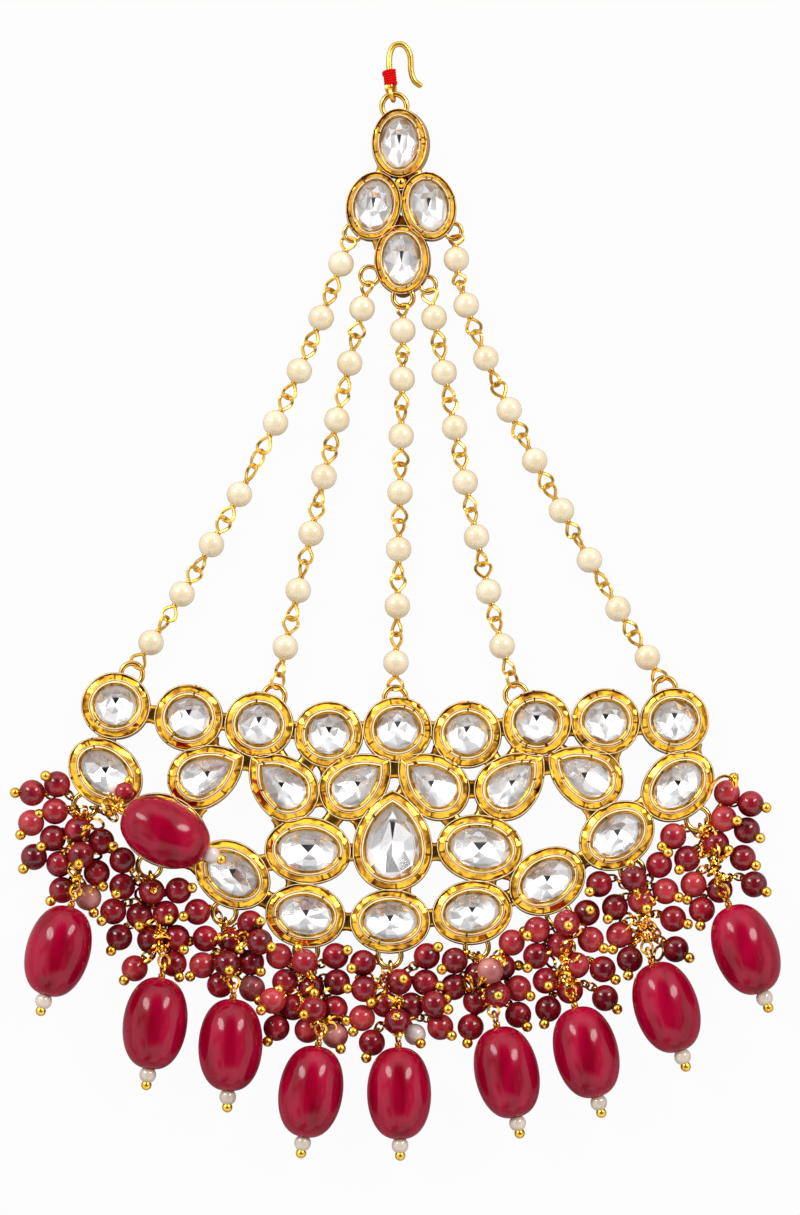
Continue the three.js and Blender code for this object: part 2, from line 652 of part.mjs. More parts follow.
// ---------------------------------------------------------------- hook
function hookSolid() {
  const route = new THREE.CatmullRomCurve3(
    HOOK_ROUTE.map(({ x, y, z }) => new THREE.Vector3(x, y, z)),
  );
  const section = new THREE.Shape().absarc(0, 0, HOOK_WIRE, 0, 2 * Math.PI);
  const wire = new THREE.ExtrudeGeometry(section, {
    extrudePath: route,
    steps: 16,
    curveSegments: 3,
  });
  const { heading, point } = ringExit(CROWN_TOP_RING, HOOK_ROUTE[0]);
  const loop = new THREE.TorusGeometry(HOOK_EYE.radius, HOOK_EYE.wire, 4, 8);
  loop.rotateX(Math.PI / 2).rotateZ(heading).translate(...point.toArray());
  return joined([wire, loop]);
}

// The thread bound round the hook's shank, as an open sleeve.
function wrapSolid() {
  const { inner, outer, low, high } = WRAP;
  const [below, above] = HOOK_ROUTE;
  const profile = [[inner, low], [outer, low], [outer, high], [inner, high], [inner, low]];
  const sleeve = new THREE.LatheGeometry(
    profile.map(([radius, y]) => new THREE.Vector2(radius, y - low)),
    6,
  );
  const slope = (above.z - below.z) / (above.y - below.y);
  sleeve.rotateX(Math.atan(slope));
  return sleeve.translate(below.x, low, below.z + slope * (low - below.y));
}

// ---------------------------------------------------------------- assembly
const passa = new THREE.Group();

function add(name, geometry, material) {
  const mesh = new THREE.Mesh(geometry, material);
  mesh.name = name;
  passa.add(mesh);
}

const { radius: crownBallRadius, ...crownBallPlace } = CROWN_BALL;
const crownBall = new THREE.IcosahedronGeometry(crownBallRadius, 0);
crownBall.translate(crownBallPlace.x, crownBallPlace.y, crownBallPlace.z);
add("crown_frame", frameOf(CROWN_SETTINGS, CROWN_RINGS, [crownBall]), GOLD);
add("arc_frame", frameOf(ARC_SETTINGS, ARC_RINGS), GOLD);
for (const setting of [...CROWN_SETTINGS, ...ARC_SETTINGS]) {
  add(`stone_${setting.name}`, stoneSolid(setting), CRYSTAL);
}
STRANDS.forEach((strand, i) => add(`strand_${i + 1}`, strandSolid(strand), PEARL));
SPRIGS.forEach((sprig, i) => add(sprig.name, sprigSolid(sprig, chains[i]), RUBY));
DROPS.forEach((drop) => add(drop.name, dropSolid(drop), RUBY));
add("hook", hookSolid(), GOLD);
add("thread_wrap", wrapSolid(), THREAD);

const footprint = new THREE.Box3().setFromObject(passa, true).getCenter(new THREE.Vector3());
passa.position.set(-footprint.x, -footprint.y, 0);

export default passa;
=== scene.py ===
import bisect
import itertools
import math
import random

import bmesh
import bpy
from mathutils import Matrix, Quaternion, Vector


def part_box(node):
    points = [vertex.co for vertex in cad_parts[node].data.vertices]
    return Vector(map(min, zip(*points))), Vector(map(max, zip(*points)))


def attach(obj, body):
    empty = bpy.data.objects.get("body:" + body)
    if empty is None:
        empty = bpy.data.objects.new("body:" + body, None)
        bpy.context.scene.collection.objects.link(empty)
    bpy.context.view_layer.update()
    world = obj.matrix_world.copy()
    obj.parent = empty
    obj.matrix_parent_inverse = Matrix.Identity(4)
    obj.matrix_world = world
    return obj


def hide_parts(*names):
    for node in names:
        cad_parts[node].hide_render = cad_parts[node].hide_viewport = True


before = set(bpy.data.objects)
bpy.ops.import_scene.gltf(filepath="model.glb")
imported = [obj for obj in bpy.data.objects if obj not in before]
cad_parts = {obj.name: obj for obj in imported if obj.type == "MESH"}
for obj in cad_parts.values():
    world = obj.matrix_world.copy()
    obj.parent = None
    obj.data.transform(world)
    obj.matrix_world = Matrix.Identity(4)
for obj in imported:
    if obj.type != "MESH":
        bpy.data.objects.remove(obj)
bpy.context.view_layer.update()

# The tables below are in millimetres from the centre of the middle round setting, with +X to the
# right, +Y from the bead fringe to the hair hook and +Z up from the surface that the piece lies on.
MM = 0.001
MIDDLE_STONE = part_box("stone_round_5")
ORIGIN = (MIDDLE_STONE[0] + MIDDLE_STONE[1]) / 2
RIGHT = Vector((1, 0, 0))
FAR = Vector((0, 1, 0))
UP = Vector((0, 0, 1))
rng = random.Random(7)

# ---- sizes
OUTLINE_STEPS = 96
COIL_STEPS = 12  # steps of one turn
TABLE_HEIGHT = 3.2
RIM_TOP = 3.0
RING_HEIGHT = 1.25
RING_SWELL = 0.06  # how much thicker a jump ring's wire is than the table below says
LINK_RADIUS = 0.8
GAP = 0.3

PEARL_RADIUS = 1.6
BEAD_RADIUS = 1.65
SMALLER_BEADS = {"pearl": 1.35, "small": 1.22}  # radius of the looks that aren't full size
DROP_RADIUS = 4.0
DROP_HALF = 5.75
DROP_FULLNESS = 0.8  # below 1 its ends are blunter than an oval's
DROP_HOLE = {"radius": 0.34, "depth": 0.25}
DROP_EYE_REACH = DROP_HALF + 1.3
DROP_PEARL = {"radius": 1.05, "reach": 6.45}
DROP_BALL = {"radius": 0.66, "reach": 7.75}

# Wire loops: half length, half width, radius of the wire, steps round the loop, sides of the wire.
RING_EYE = (0.78, 0.78, 0.17, 20, 6)
DROP_LINK = (0.78, 0.7, 0.17, 20, 6)
DROP_EYE = (0.72, 0.72, 0.16, 24, 7)
ROOT_EYE = (0.66, 0.58, 0.15, 16, 6)
HOOK_EYE = (0.85, 0.8, 0.27, 24, 8)
HOOK_LINK = (0.66, 0.58, 0.24, 20, 7)
# Wire coils: radius, radius of the wire, turns.
COLLAR = (0.30, 0.13, 1.6)
DROP_COIL = (0.34, 0.14, 3.2)
ROOT_COIL = (0.30, 0.14, 3.0)
BALL_COIL = (0.24, 0.1, 1.2)

# The links between pearls, with the gaps that one and two of them span, the chains of the fringe, the
# loose wire ends round them, and the head pins: the ball at the end, and from the root how far the
# eye is, the least heights of the coil and the eye, and how long the chain may be.
LINK = {
    "overlap": 0.34, "width": 2.05, "wire": 0.215, "ring": 0.8, "bite": 0.35, "reach": 1.76,
    "one_to": 3.2, "two_to": 5.2,
}
CHAIN = {"half_width": 0.46, "wire": 0.15, "pitch": 0.95, "overlap": 0.17, "sag": 1.6}
TANGLE = {"loops": 13, "reach": 2.3, "height": (1.0, 3.4), "radius": (0.75, 1.25), "wire": 0.19}
PIN_BALL = {"radius": 0.67, "reach": 2.12, "offset": 0.45}
PIN_ROOT = {"reach": 0.62, "lowest_coil": 0.45, "lowest_eye": 0.82, "chain": 4.5}
# How the beads find their places: rounds, pull towards home in x, y and z, how near another bead or
# the side of a post has to be to count, the space between beads of one sprig, and how far two beads
# lie over each other, seen from above, before one is lifted by a share of what would clear them.
SETTLING = {
    "rounds": 400, "pull": (0.03, 0.03, 0.015), "near": 9.0, "near_post": 6.0, "space": 0.02,
    "over": 0.7, "lift": 0.9,
}

# The solder bars between settings; a bar bites into both and is made only where they are close.
BAR = {"width": 2.6, "middle": 0.80, "half_height": 0.52, "longest": 1.25, "bite": 0.75}

# A setting's section from the foot of its wall to the floor under the stone: inset, height, and the
# look of the strip up to the next point. The wall look paints shade on the outer walls, and the ridge
# look paints highlights along the ridges.
SETTING_SECTION = [
    (0.00, 0.00, "wall"), (0.01, 1.00, "wall"), (0.02, 1.90, "wall"), (0.03, 2.36, "wall"),
    (0.05, 2.48, "lip"), (0.09, 2.58, "ridge"), (0.14, 2.61, "ridge"), (0.18, 2.56, "lip"),
    (0.24, 2.46, "lip"), (0.30, 2.40, "band"), (0.48, 2.48, "band"), (0.66, 2.58, "band"),
    (0.84, 2.68, "band"), (0.96, 2.76, "lip"), (1.00, 2.80, "ridge"), (1.04, 2.84, "ridge"),
    (1.07, 2.82, "lip"), (1.12, 2.74, "lip"), (1.17, 2.81, "ridge"), (1.22, 2.91, "ridge"),
    (1.27, 2.97, "ridge"), (1.35, 2.98, "lip"), (1.40, 2.88, "lip"), (1.47, 2.78, "lip"),
    (1.57, 2.76, "lip"), (1.64, 2.70, "lip"), (1.66, 2.50, "ridge"), (1.66, 0.60, "wall"),
]
# Hand work on the section: how far the wall leans and the band is beaten, the inset where the band
# is most uneven and how far that reaches, the height where the wall leans fully, the inset of the
# stone's seat, the height where a flare ends, and the heights between which the band is beaten.
BAND = {
    "lean": 0.02, "beaten": 0.026, "middle": 0.66, "reach": 0.4, "outer_height": 2.2, "inner": 1.45,
    "flare_top": 2.6, "beaten_above": 2, "top": 3.02,
}
# The dark marks are painted shade, standing in for the shadows of small nicks.
TICKS = 9  # dark marks in a setting's bezel
# A stone's insets, before the section is scaled, and heights.
STONE = {
    "edge": 1.68, "girdle": 2.56, "shoulder": 2.86, "shoulder_inset": 0.20, "table_inset": 0.56,
    "belt": 2.10, "foot": 1.30,
}
# The facet painted dark as a painted dark reflection, by what a stone's name contains, the first that
# fits: how far it lies towards the point of a pear, how far up its head and its tail are, and the half
# width of its head.
PAINTED_DARK_REFLECTION_FACETS = {
    "pear_large": (0.0, 3.0, 0.6, 0.34), "pear": (0.6, 0.35, -0.42, 0.42),
    "wide": (0.0, 0.75, -0.30, 0.95), "oval": (0.0, 0.70, -0.15, 0.50),
    "crown": (0.0, 1.1, -0.4, 0.28), "round": (0.0, 1.0, 0.15, 0.42),
}
ARC_BEZEL = 1.0  # width of the arc's bezels against the section above
CROWN_BEZEL = 0.68

ROUND = {"length": 8.7, "width": 8.4}
OVAL = {"length": 10.1, "width": 8.1}
WIDE_OVAL = {"length": 10.9, "width": 8.5}
BROAD_OVAL = {"length": 11.4, "width": 8.9}
SMALL_OVAL = {"length": 8.7, "width": 6.9}
PEAR = {"radius": 3.9, "point": 6.45}
LARGE_PEAR = {"radius": 5.05, "point": 7.7}

# name, size, x, y, tilt of the long axis or point from +X in degrees
ARC_SETTINGS = [
    *((f"round_{i}", ROUND, *place, 0) for i, place in enumerate([
        (-35.2, 3.0), (-26.1, 1.5), (-17.3, 0.6), (-8.6, -0.6), (0.0, 0.0), (8.7, -0.6), (17.4, 0.8),
        (26.0, 1.0), (34.6, 1.1),
    ], 1)),
    *((f"pear_{i}", PEAR, *place) for i, place in enumerate([
        (-24.9, -6.1, 26), (-13.6, -7.7, 138), (-6.0, -7.5, 37), (5.2, -7.5, 142),
        (13.4, -7.5, 42), (24.4, -6.3, 151),
    ], 1)),
    ("pear_large", LARGE_PEAR, -0.6, -15.2, 90),
    *((f"oval_{i}", BROAD_OVAL if i == 2 else OVAL, *place) for i, place in enumerate([
        (-36.5, -5.4, -39), (-29.1, -12.6, -28), (-20.6, -18.1, -35), (-11.5, -23.2, -9),
        (-0.9, -23.9, 0), (9.3, -22.8, 9), (18.7, -18.9, 31), (27.4, -13.2, 35), (35.0, -7.0, 42),
    ], 1)),
    ("oval_wide_left", WIDE_OVAL, -11.2, -15.1, -3),
    ("oval_wide_right", WIDE_OVAL, 10.3, -14.8, -7),
]
CROWN_SETTINGS = [
    ("crown_top", SMALL_OVAL, 0.2, 73.5, 90), ("crown_left", SMALL_OVAL, -3.0, 65.6, 79),
    ("crown_right", SMALL_OVAL, 3.9, 65.6, 102), ("crown_foot", SMALL_OVAL, 0.5, 58.9, 90),
]

# Jump rings: x, y, radius of the ring's middle line, radius of its wire.
ARC_RINGS = [
    *((x, y, 1.35, 0.27) for x, y in (
        (-33.2, 7.0), (-15.4, 4.2), (-0.3, 4.0), (14.8, 4.4), (33.4, 5.2),
    )),
    *((x, y, 1.45, 0.27) for x, y in (
        (-39.0, -9.4), (-31.0, -17.0), (-21.6, -22.8), (-11.4, -27.6), (-1.0, -28.2),
        (9.9, -27.1), (20.1, -23.1), (29.3, -17.6), (37.5, -11.1),
    )),
]
CROWN_RINGS = [
    (-0.4, 78.2, 1.55, 0.30), (-5.6, 62.3, 1.05, 0.22), (-3.5, 56.9, 1.15, 0.22),
    (0.7, 54.2, 1.25, 0.27), (3.8, 55.8, 1.0, 0.22), (7.0, 62.5, 1.0, 0.22),
]
CROWN_BALL = {"centre": (0.4, 68.5, 2.0), "radius": 0.8}
# The plate's levels: height above its foot, half width, half length.
CROWN_PLATE = {
    "foot": (0.7, 54.9, 0.9), "levels": [(0.0, 1.05, 0.75), (0.3, 1.05, 0.75), (0.4, 0.945, 0.675)],
}
CROWN_FLARE = {"crown_top": 0.45, "crown_foot": 0.25}  # how far a wall leans out to the right

# Pearl strands: crown ring, arc ring, bow to the right, bend, upper ring's wire to the first pearl,
# first pitch, later pitch, pearls, pearl that an extra link follows.
EXTRA_LINK = 2.8
STRANDS = [
    (1, 0, 2.3, 0.5, 3.15, 7.2, 7.2, 8, 4),
    (2, 1, 0.0, 0.5, 3.10, 7.0, 7.3, 7, 0),
    (3, 2, 0.1, 0.2, 2.95, 6.1, 7.1, 7, 0),
    (4, 3, -0.7, 0.8, 3.25, 7.0, 7.0, 7, 0),
    (5, 4, -3.4, 0.2, 2.65, 5.9, 7.1, 9, 0),
]

# Ruby drops: name, x, y, the way that the point hangs in degrees from +X, lies on a stone.
DROPS = [
    *((f"drop_{i}", *place, False) for i, place in enumerate([
        (-42.3, -27.7, -106), (-30.2, -36.7, -98), (-20.8, -39.4, -93), (-10.8, -45.2, -99),
        (0.2, -45.4, -89), (13.6, -42.8, -78), (23.5, -40.3, -76), (33.5, -34.7, -72),
        (43.4, -27.5, -69),
    ], 1)),
    ("drop_turned_up", -28.9, -13.0, -26, True),
]

# Fringe beads: x, y, then the x and y from the bead's centre to the ball of its head pin, unless the
# ball is hidden, and the bead's look where it isn't the deep red one.
SPRIGS = [
    ("fringe_1", 5, [
        (-42.0, -17.1), (-39.4, -12.7), (-45.4, -7.8, -2.1, 0.0), (-42.1, -6.6, -1.4, 1.0),
        (-45.6, -11.7, -1.3, -1.5), (-44.5, -16.0, -1.3, -1.5), (-41.7, -20.1, -1.4, -1.4),
        (-37.6, -18.4, 0.8, -1.7), (-38.6, -21.6, 0.7, -1.9, "pale"), (-42.8, -10.2, -2.0, -0.4),
        (-43.0, -13.8, -1.4, -1.1), (-40.2, -16.3, -0.2, -1.2), (-37.1, -14.1, 1.5, -0.7),
    ]),
    ("fringe_2", 6, [
        (-30.9, -26.2), (-34.4, -15.8), (-30.6, -20.0), (-27.4, -20.6, 1.7, 0.3),
        (-32.8, -29.8, -1.3, -1.5), (-28.1, -29.7, 0.7, -1.7), (-34.6, -19.0, -0.7, -1.0),
        (-35.4, -22.2, -1.4, -1.2), (-32.3, -23.1, 0.0, -1.3), (-34.8, -25.6, -1.0, -1.7),
        (-29.0, -23.5, 0.4, -0.7), (-27.6, -25.8, 0.9, -1.5),
    ]),
    ("fringe_3", 7, [
        (-21.6, -31.9), (-24.7, -22.6, -1.7, -0.6), (-24.3, -26.1), (-24.7, -29.6, -1.5, -1.4),
        (-18.7, -24.1, 1.3, 0.2), (-18.4, -32.7, 0.9, -1.5, "pale"), (-17.7, -29.6, 1.2, -1.2),
        (-17.2, -26.2, 1.5, -0.7), (-20.7, -26.7, 1.0, -0.9), (-21.4, -29.5, 0.3, -0.9),
    ]),
    ("fringe_4", 8, [
        (-12.9, -34.3), (-11.2, -37.4), (-14.7, -28.5), (-15.1, -33.9, -1.4, -1.2),
        (-15.0, -37.1, -1.1, -1.7), (-11.5, -28.9), (-7.7, -28.0, 1.5, 0.7), (-7.7, -31.1, 1.3, -0.8),
        (-7.9, -34.8, 1.4, -1.5), (-8.1, -38.4, 0.7, -1.7, "pale"), (-13.8, -30.9, -0.8, -1.0),
        (-10.9, -32.3, 0.4, -0.7), (-11.0, -34.9, -1.2, -0.7),
    ]),
    ("fringe_5", 9, [
        (-1.8, -34.0), (1.4, -34.5), (0.6, -35.9), (-4.4, -29.2, -1.4, -0.7), (-4.2, -35.7, -1.1, -1.7),
        (-3.2, -39.0, -0.7, -1.9), (3.3, -28.0, 1.4, 1.1), (3.4, -30.9, 1.8, -0.5),
        (3.8, -34.1, 1.7, -0.7), (4.8, -37.2, 1.4, -1.1), (2.1, -38.3, 0.8, -1.3, "pearl"),
        (-3.9, -32.5, 0.9, -1.7), (0.6, -32.2, 0.6, 0.3),
    ]),
    ("fringe_6", 10, [
        (10.1, -30.4), (10.1, -33.6), (7.0, -28.8, -1.6, -1.1), (7.3, -32.2, -0.9, -1.5),
        (9.4, -36.5, -0.4, -2.0), (13.7, -26.5), (13.8, -29.1), (14.6, -31.6, 1.5, -1.0),
        (14.8, -35.7, 1.1, -1.5), (11.8, -30.3, "pale"), (12.0, -33.0, 0.1, -0.1),
    ]),
    ("fringe_7", 11, [
        (22.3, -30.0), (21.3, -32.7), (20.4, -27.1), (16.2, -24.4, -1.2, -0.8),
        (17.0, -27.7, -1.1, -1.5), (18.9, -34.9, -0.5, -1.9), (24.2, -26.2, 1.6, -1.1),
        (24.9, -29.7, 1.6, -1.3), (25.9, -33.5, 1.5, -1.4), (18.5, -31.5, 0.3, -0.7),
        (23.7, -22.9, 0.4, 0.3), (20.5, -24.2, 0.2, -0.4),
    ]),
    ("fringe_8", 12, [
        (25.1, -19.1, -1.2, -1.0), (26.9, -22.2, -0.9, -1.5), (27.6, -25.7, -0.8, -1.8),
        (28.9, -28.8, -0.2, -2.0), (32.5, -16.9, 1.1, 1.5), (33.7, -20.1, 1.6, -0.8),
        (34.4, -23.6, 1.8, -0.7), (34.7, -27.4, 1.7, -1.1), (29.1, -18.0), (30.2, -20.9, 0.7, -1.0),
    ]),
    ("fringe_9", 13, [
        (39.9, -20.1), (40.0, -8.3), (34.7, -13.1, -1.4, -1.3), (35.9, -15.9, -1.0, -1.4),
        (36.8, -19.1, -0.8, -1.9), (38.1, -22.3, -0.2, -2.0), (43.3, -8.9, 1.9, -0.5),
        (40.6, -10.7, 1.6, -0.3), (43.5, -12.5, 1.6, -1.0), (43.1, -16.0, 1.6, -1.0),
        (44.5, -19.3, 1.5, -1.0), (39.8, -14.2, 1.5, -0.8),
    ]),
    ("fringe_turned_up", 5, [(-33.9, -8.1, "small")]),
]
LOOSE_BEAD = {
    "centre": (-35.4, -7.3, 4.3), "radius": 0.75, "cap": (-34.9, -8.6, 4.4), "cap_radius": 0.5,
}
OPEN_LOOP = [
    (38.9, -8.0, 3.0), (39.5, -6.7, 3.9), (40.6, -5.9, 4.3), (41.7, -6.2, 4.4), (42.1, -7.3, 4.3),
    (42.3, -6.3, 4.5), (42.3, -5.6, 4.5),
]
TURNED_UP = {"leaves": (2.8, -1.2), "height": 5.1, "sag": 3.4, "swing": 2.2, "loops": 4}
HOOK_ROUTE = [
    (-0.8, 80.4, 1.25), (-1.0, 82.5, 1.1), (-1.0, 84.6, 0.7), (-0.45, 85.9, 0.5),
    (0.7, 86.0, 0.45), (1.55, 84.8, 0.45), (1.7, 82.7, 0.45), (2.15, 81.45, 0.45),
    (3.05, 80.75, 0.45),
]
HOOK_WIRE = 0.37
# Thread on the hook: distance from the hook's foot, and the coil as above; then where the two loose
# turns over it start, in radians.
THREAD_LAYERS = [(1.40, (0.58, 0.15, 6.5)), (1.44, (0.71, 0.15, 6.2))]
THREAD_PITCH = 0.30
LOOSE_TURNS = (1.1, 1.8)

FLOOR = 3.0  # half a side, in metres
FLOOR_GLOW = 0.96  # how far the floor shows as a lit white ground instead of as paper
# The camera and softboxes look at this place; their distances and sizes are in metres.
VIEW_CENTRE = (0.31, 15.31, 1.5)
CAMERA = {"distance": 1.5, "elevation": 87.0, "sensor": 36.0, "view_height": 151.875}
SOFTBOX = {"distance": 1.0, "width": 0.27, "height": 0.54, "radiance": 12.0}
SOFTBOXES = [("softbox_left", 142, 38), ("softbox_right", 38, 42)]  # name, azimuth, elevation


def in_place(point):
    """A point of the tables in the scene's metres."""
    return Vector(point) * MM + Vector((ORIGIN.x, ORIGIN.y, 0))


def new_object(name, data):
    made = bpy.data.objects.new(name, data)
    bpy.context.scene.collection.objects.link(made)
    return made


def direction(azimuth, elevation=0):
    a, e = math.radians(azimuth), math.radians(elevation)
    return Vector((math.cos(a) * math.cos(e), math.sin(a) * math.cos(e), math.sin(e)))


# ---- node helpers
def fill(tree, node, inputs):
    """Gives each named or numbered input its value, or links it to another node's output."""
    for key, value in inputs.items():
        if isinstance(value, bpy.types.NodeSocket):
            tree.links.new(value, node.inputs[key])
        else:
            node.inputs[key].default_value = value


def add_node(tree, kind, inputs=None, **settings):
    node = tree.nodes.new("ShaderNode" + kind)
    for key, value in settings.items():
        setattr(node, key, value)
    fill(tree, node, inputs or {})
    return node


def noise_of(tree, size, detail=3.0, stretch=(1, 1, 1)):
    """A noise texture whose features are about that many millimetres across."""
    place = add_node(tree, "TexCoord").outputs["Object"]
    scaled = add_node(tree, "Mapping", {"Vector": place, "Scale": stretch})
    inputs = {"Vector": scaled.outputs["Vector"], "Scale": 1 / (size * MM), "Detail": detail}
    return add_node(tree, "TexNoise", inputs).outputs["Fac"]


def ramp_of(tree, source, stops):
    ramp = add_node(tree, "ValToRGB", {"Fac": source})
    elements = ramp.color_ramp.elements
    while len(elements) < len(stops):
        elements.new(0.5)
    for element, (position, color) in zip(elements, stops):
        element.position = position
        element.color = (*color, 1)
    return ramp.outputs["Color"]


def range_of(tree, source, low, high, start=0.0, end=1.0, kind="LINEAR"):
    """The stretch of the source from start to end as a value from low to high."""
    ends = {"Value": source, "From Min": start, "From Max": end, "To Min": low, "To Max": high}
    return add_node(tree, "MapRange", ends, interpolation_type=kind).outputs["Result"]


def bump_of(tree, layers):
    """Bumps laid over each other; each layer is a height source and its depth in millimetres."""
    below = {}
    for source, depth in layers:
        inputs = {"Height": source, "Distance": depth * MM, **below}
        below = {"Normal": add_node(tree, "Bump", inputs).outputs["Normal"]}
    return below["Normal"]


def math_of(tree, operation, *values):
    inputs = dict(enumerate(values))
    return add_node(tree, "Math", inputs, operation=operation).outputs["Value"]


# ---- materials
def surface(name, colour=None, roughness=None, bumps=(), constants=None):
    """A material made of noises, each given by its size in millimetres, its detail and its stretch:
    one with its ramp for the colour, one with its low and high for the roughness, and one with its
    depth for each bump."""
    material = bpy.data.materials.new(name)
    material.use_nodes = True
    tree = material.node_tree
    inputs = dict(constants or {})
    if colour:
        *cloud, stops = colour
        inputs["Base Color"] = ramp_of(tree, noise_of(tree, *cloud), stops)
    if roughness:
        *grain, low, high = roughness
        inputs["Roughness"] = range_of(tree, noise_of(tree, *grain), low, high)
    if bumps:
        layers = [(noise_of(tree, *dents), depth) for *dents, depth in bumps]
        inputs["Normal"] = bump_of(tree, layers)
    fill(tree, tree.nodes["Principled BSDF"], inputs)
    return material


def gold_material(name, deep, bright, roughness, dents=0.12, coat=0.6, metallic=1.0):
    return surface(
        name, (1.6, [(0.34, deep), (0.54, bright)]), (0.25, roughness, roughness + 0.08),
        [(1.9, 1.0, dents), (0.25, 0.003)],
        {"Metallic": metallic, "Coat Weight": coat, "Coat Roughness": 0.05},
    )


def foil_material(name, dull, clean, metallic, roughness):
    """The silvering behind a stone, cloudy where it has worn."""
    stops = [(0.35, dull), (0.60, clean)]
    return surface(
        name, (2.4, 1.0, stops), (2.4, 1.0, roughness, roughness + 0.06),
        constants={"Metallic": metallic},
    )


def red_material(name, deep, bright, transmission, gloss, stretch=(1, 1, 1)):
    """Polished red glass paste: clouds of colour inside and a few faint pits outside."""
    return surface(
        name, (2.8, 1.5, stretch, [(0.32, deep), (0.68, bright)]), (1.1, 0.09, 0.15),
        [(2.4, 1.0, 0.005)],
        {"Transmission Weight": transmission, "IOR": 1.5, "Specular IOR Level": gloss},
    )


def pearl_material(name, shade, light):
    return surface(
        name, (3.0, 0.5, [(0.30, shade), (0.70, light)]), (0.7, 0.30, 0.40), [(1.6, 0.5, 0.004)],
        {"Coat Weight": 1.0, "Coat Roughness": 0.12, "Coat IOR": 1.7},
    )


def floor_material():
    """White paper that camera rays, and no others, see with a glow, so that it shows as lit white."""
    stops = [(0.3, (0.42, 0.42, 0.42)), (0.7, (0.46, 0.46, 0.46))]
    material = surface("white_floor", (8.0, stops), constants={"Roughness": 0.8})
    tree = material.node_tree
    seen = add_node(tree, "LightPath").outputs["Is Camera Ray"]
    blend = add_node(tree, "MixShader", {
        "Fac": math_of(tree, "MULTIPLY", seen, FLOOR_GLOW),
        1: tree.nodes["Principled BSDF"].outputs["BSDF"],
        2: add_node(tree, "Emission").outputs["Emission"],
    })
    fill(tree, tree.nodes["Material Output"], {"Surface": blend.outputs["Shader"]})
    return material


GOLD = gold_material("gold", (0.88, 0.40, 0.02), (1.0, 0.58, 0.06), 0.05)
WIRE_GOLD = gold_material("gold_wire", (0.68, 0.39, 0.04), (0.92, 0.58, 0.10), 0.28, 0.01, 0.3)
RING_GOLD = gold_material("gold_ring", (0.76, 0.38, 0.05), (0.96, 0.60, 0.14), 0.20, 0.03, 0.3)
BALL_GOLD = gold_material("gold_ball", (0.88, 0.44, 0.02), (1.0, 0.62, 0.08), 0.24, 0.04, 0.5)
SECTION_LOOKS = {
    # The ridge look is pale, hardly metallic gold: painted highlights along the ridges.
    "ridge": gold_material("gold_ridge", (1.0, 0.80, 0.38), (1.0, 0.93, 0.62), 0.30, 0.02, 0.5, 0.1),
    "band": gold_material("gold_band", (0.38, 0.14, 0.004), (0.98, 0.53, 0.03), 0.06, 0.28, 0.3),
    "lip": gold_material("gold_lip", (0.40, 0.15, 0.005), (0.92, 0.44, 0.02), 0.16, 0.08, 0.1, 0.9),
    # The wall look is dark, hardly metallic gold: painted shade on the outer walls and on the solder
    # bars.
    "wall": gold_material("gold_wall", (0.38, 0.19, 0.02), (0.84, 0.47, 0.06), 0.18, 0.10, 0.1),
}
# Near-black, unmetallic gold for the dark marks in the bezels: painted shade of small nicks.
NICK_SHADE = gold_material("solder", (0.06, 0.018, 0.002), (0.30, 0.12, 0.008), 0.16, 0.10, 0.0)
BRONZE = gold_material("bronze", (0.30, 0.18, 0.09), (0.52, 0.36, 0.22), 0.30, 0.05, 0.1)
CRYSTAL = surface("crystal", None, (0.8, 0.0, 0.03), (), {
    "Base Color": (1, 1, 1, 1), "Transmission Weight": 1.0, "IOR": 1.33,
})
# Lit, half lit and shaded copies of one foil: their greys paint the reflections that the facets behind
# a stone would show.
PAINTED_LIT_FOIL = foil_material("bright_foil", (0.96, 0.96, 0.97), (1.0, 1.0, 1.0), 1.0, 0.22)
PAINTED_HALF_LIT_FOIL = foil_material("pale_foil", (0.80, 0.80, 0.81), (0.87, 0.87, 0.88), 1.0, 0.26)
PAINTED_SHADE_FOIL = foil_material("grey_foil", (0.62, 0.62, 0.63), (0.72, 0.72, 0.73), 1.0, 0.26)
# The dark foil paints the reflection of a dark thing on the foot facet.
PAINTED_DARK_REFLECTION_FOIL = foil_material("dark_foil", (0.06, 0.06, 0.064), (0.20, 0.20, 0.21), 0.8, 0.25)
RIM_FOIL = foil_material("rim_foil", (0.90, 0.78, 0.66), (1.0, 0.96, 0.92), 1.0, 0.50)
BROWN_FOIL = foil_material("brown_foil", (0.40, 0.22, 0.10), (0.74, 0.52, 0.34), 1.0, 0.50)
RUBY = red_material("ruby", (0.28, 0.0, 0.014), (0.50, 0.001, 0.040), 0.25, 0.22, (1.2, 0.3, 1.2))
RED_BEAD = red_material("red_bead", (0.15, 0.001, 0.008), (0.46, 0.013, 0.029), 0.2, 0.55)
WINE_BEAD = red_material("wine_bead", (0.09, 0.001, 0.005), (0.31, 0.008, 0.018), 0.2, 0.55)
ROSE_BEAD = red_material("rose_bead", (0.32, 0.006, 0.018), (0.64, 0.054, 0.064), 0.2, 0.55)
PALE_BEAD = red_material("pale_bead", (0.34, 0.05, 0.06), (0.74, 0.30, 0.27), 0.2, 0.6)
PEARL = pearl_material("pearl", (0.78, 0.62, 0.38), (0.86, 0.74, 0.52))
PIN_PEARL = pearl_material("pin_pearl", (0.54, 0.43, 0.34), (0.76, 0.65, 0.53))
CLEAR_PEARL = pearl_material("milky_bead", (0.74, 0.60, 0.54), (0.88, 0.80, 0.76))
THREAD = surface(
    "red_thread", (0.12, 4.0, [(0.30, (0.46, 0.0, 0.0)), (0.70, (0.95, 0.003, 0.003))]),
    None, [(0.12, 4.0, 0.05)], {"Roughness": 0.7, "Specular IOR Level": 0.1},
)
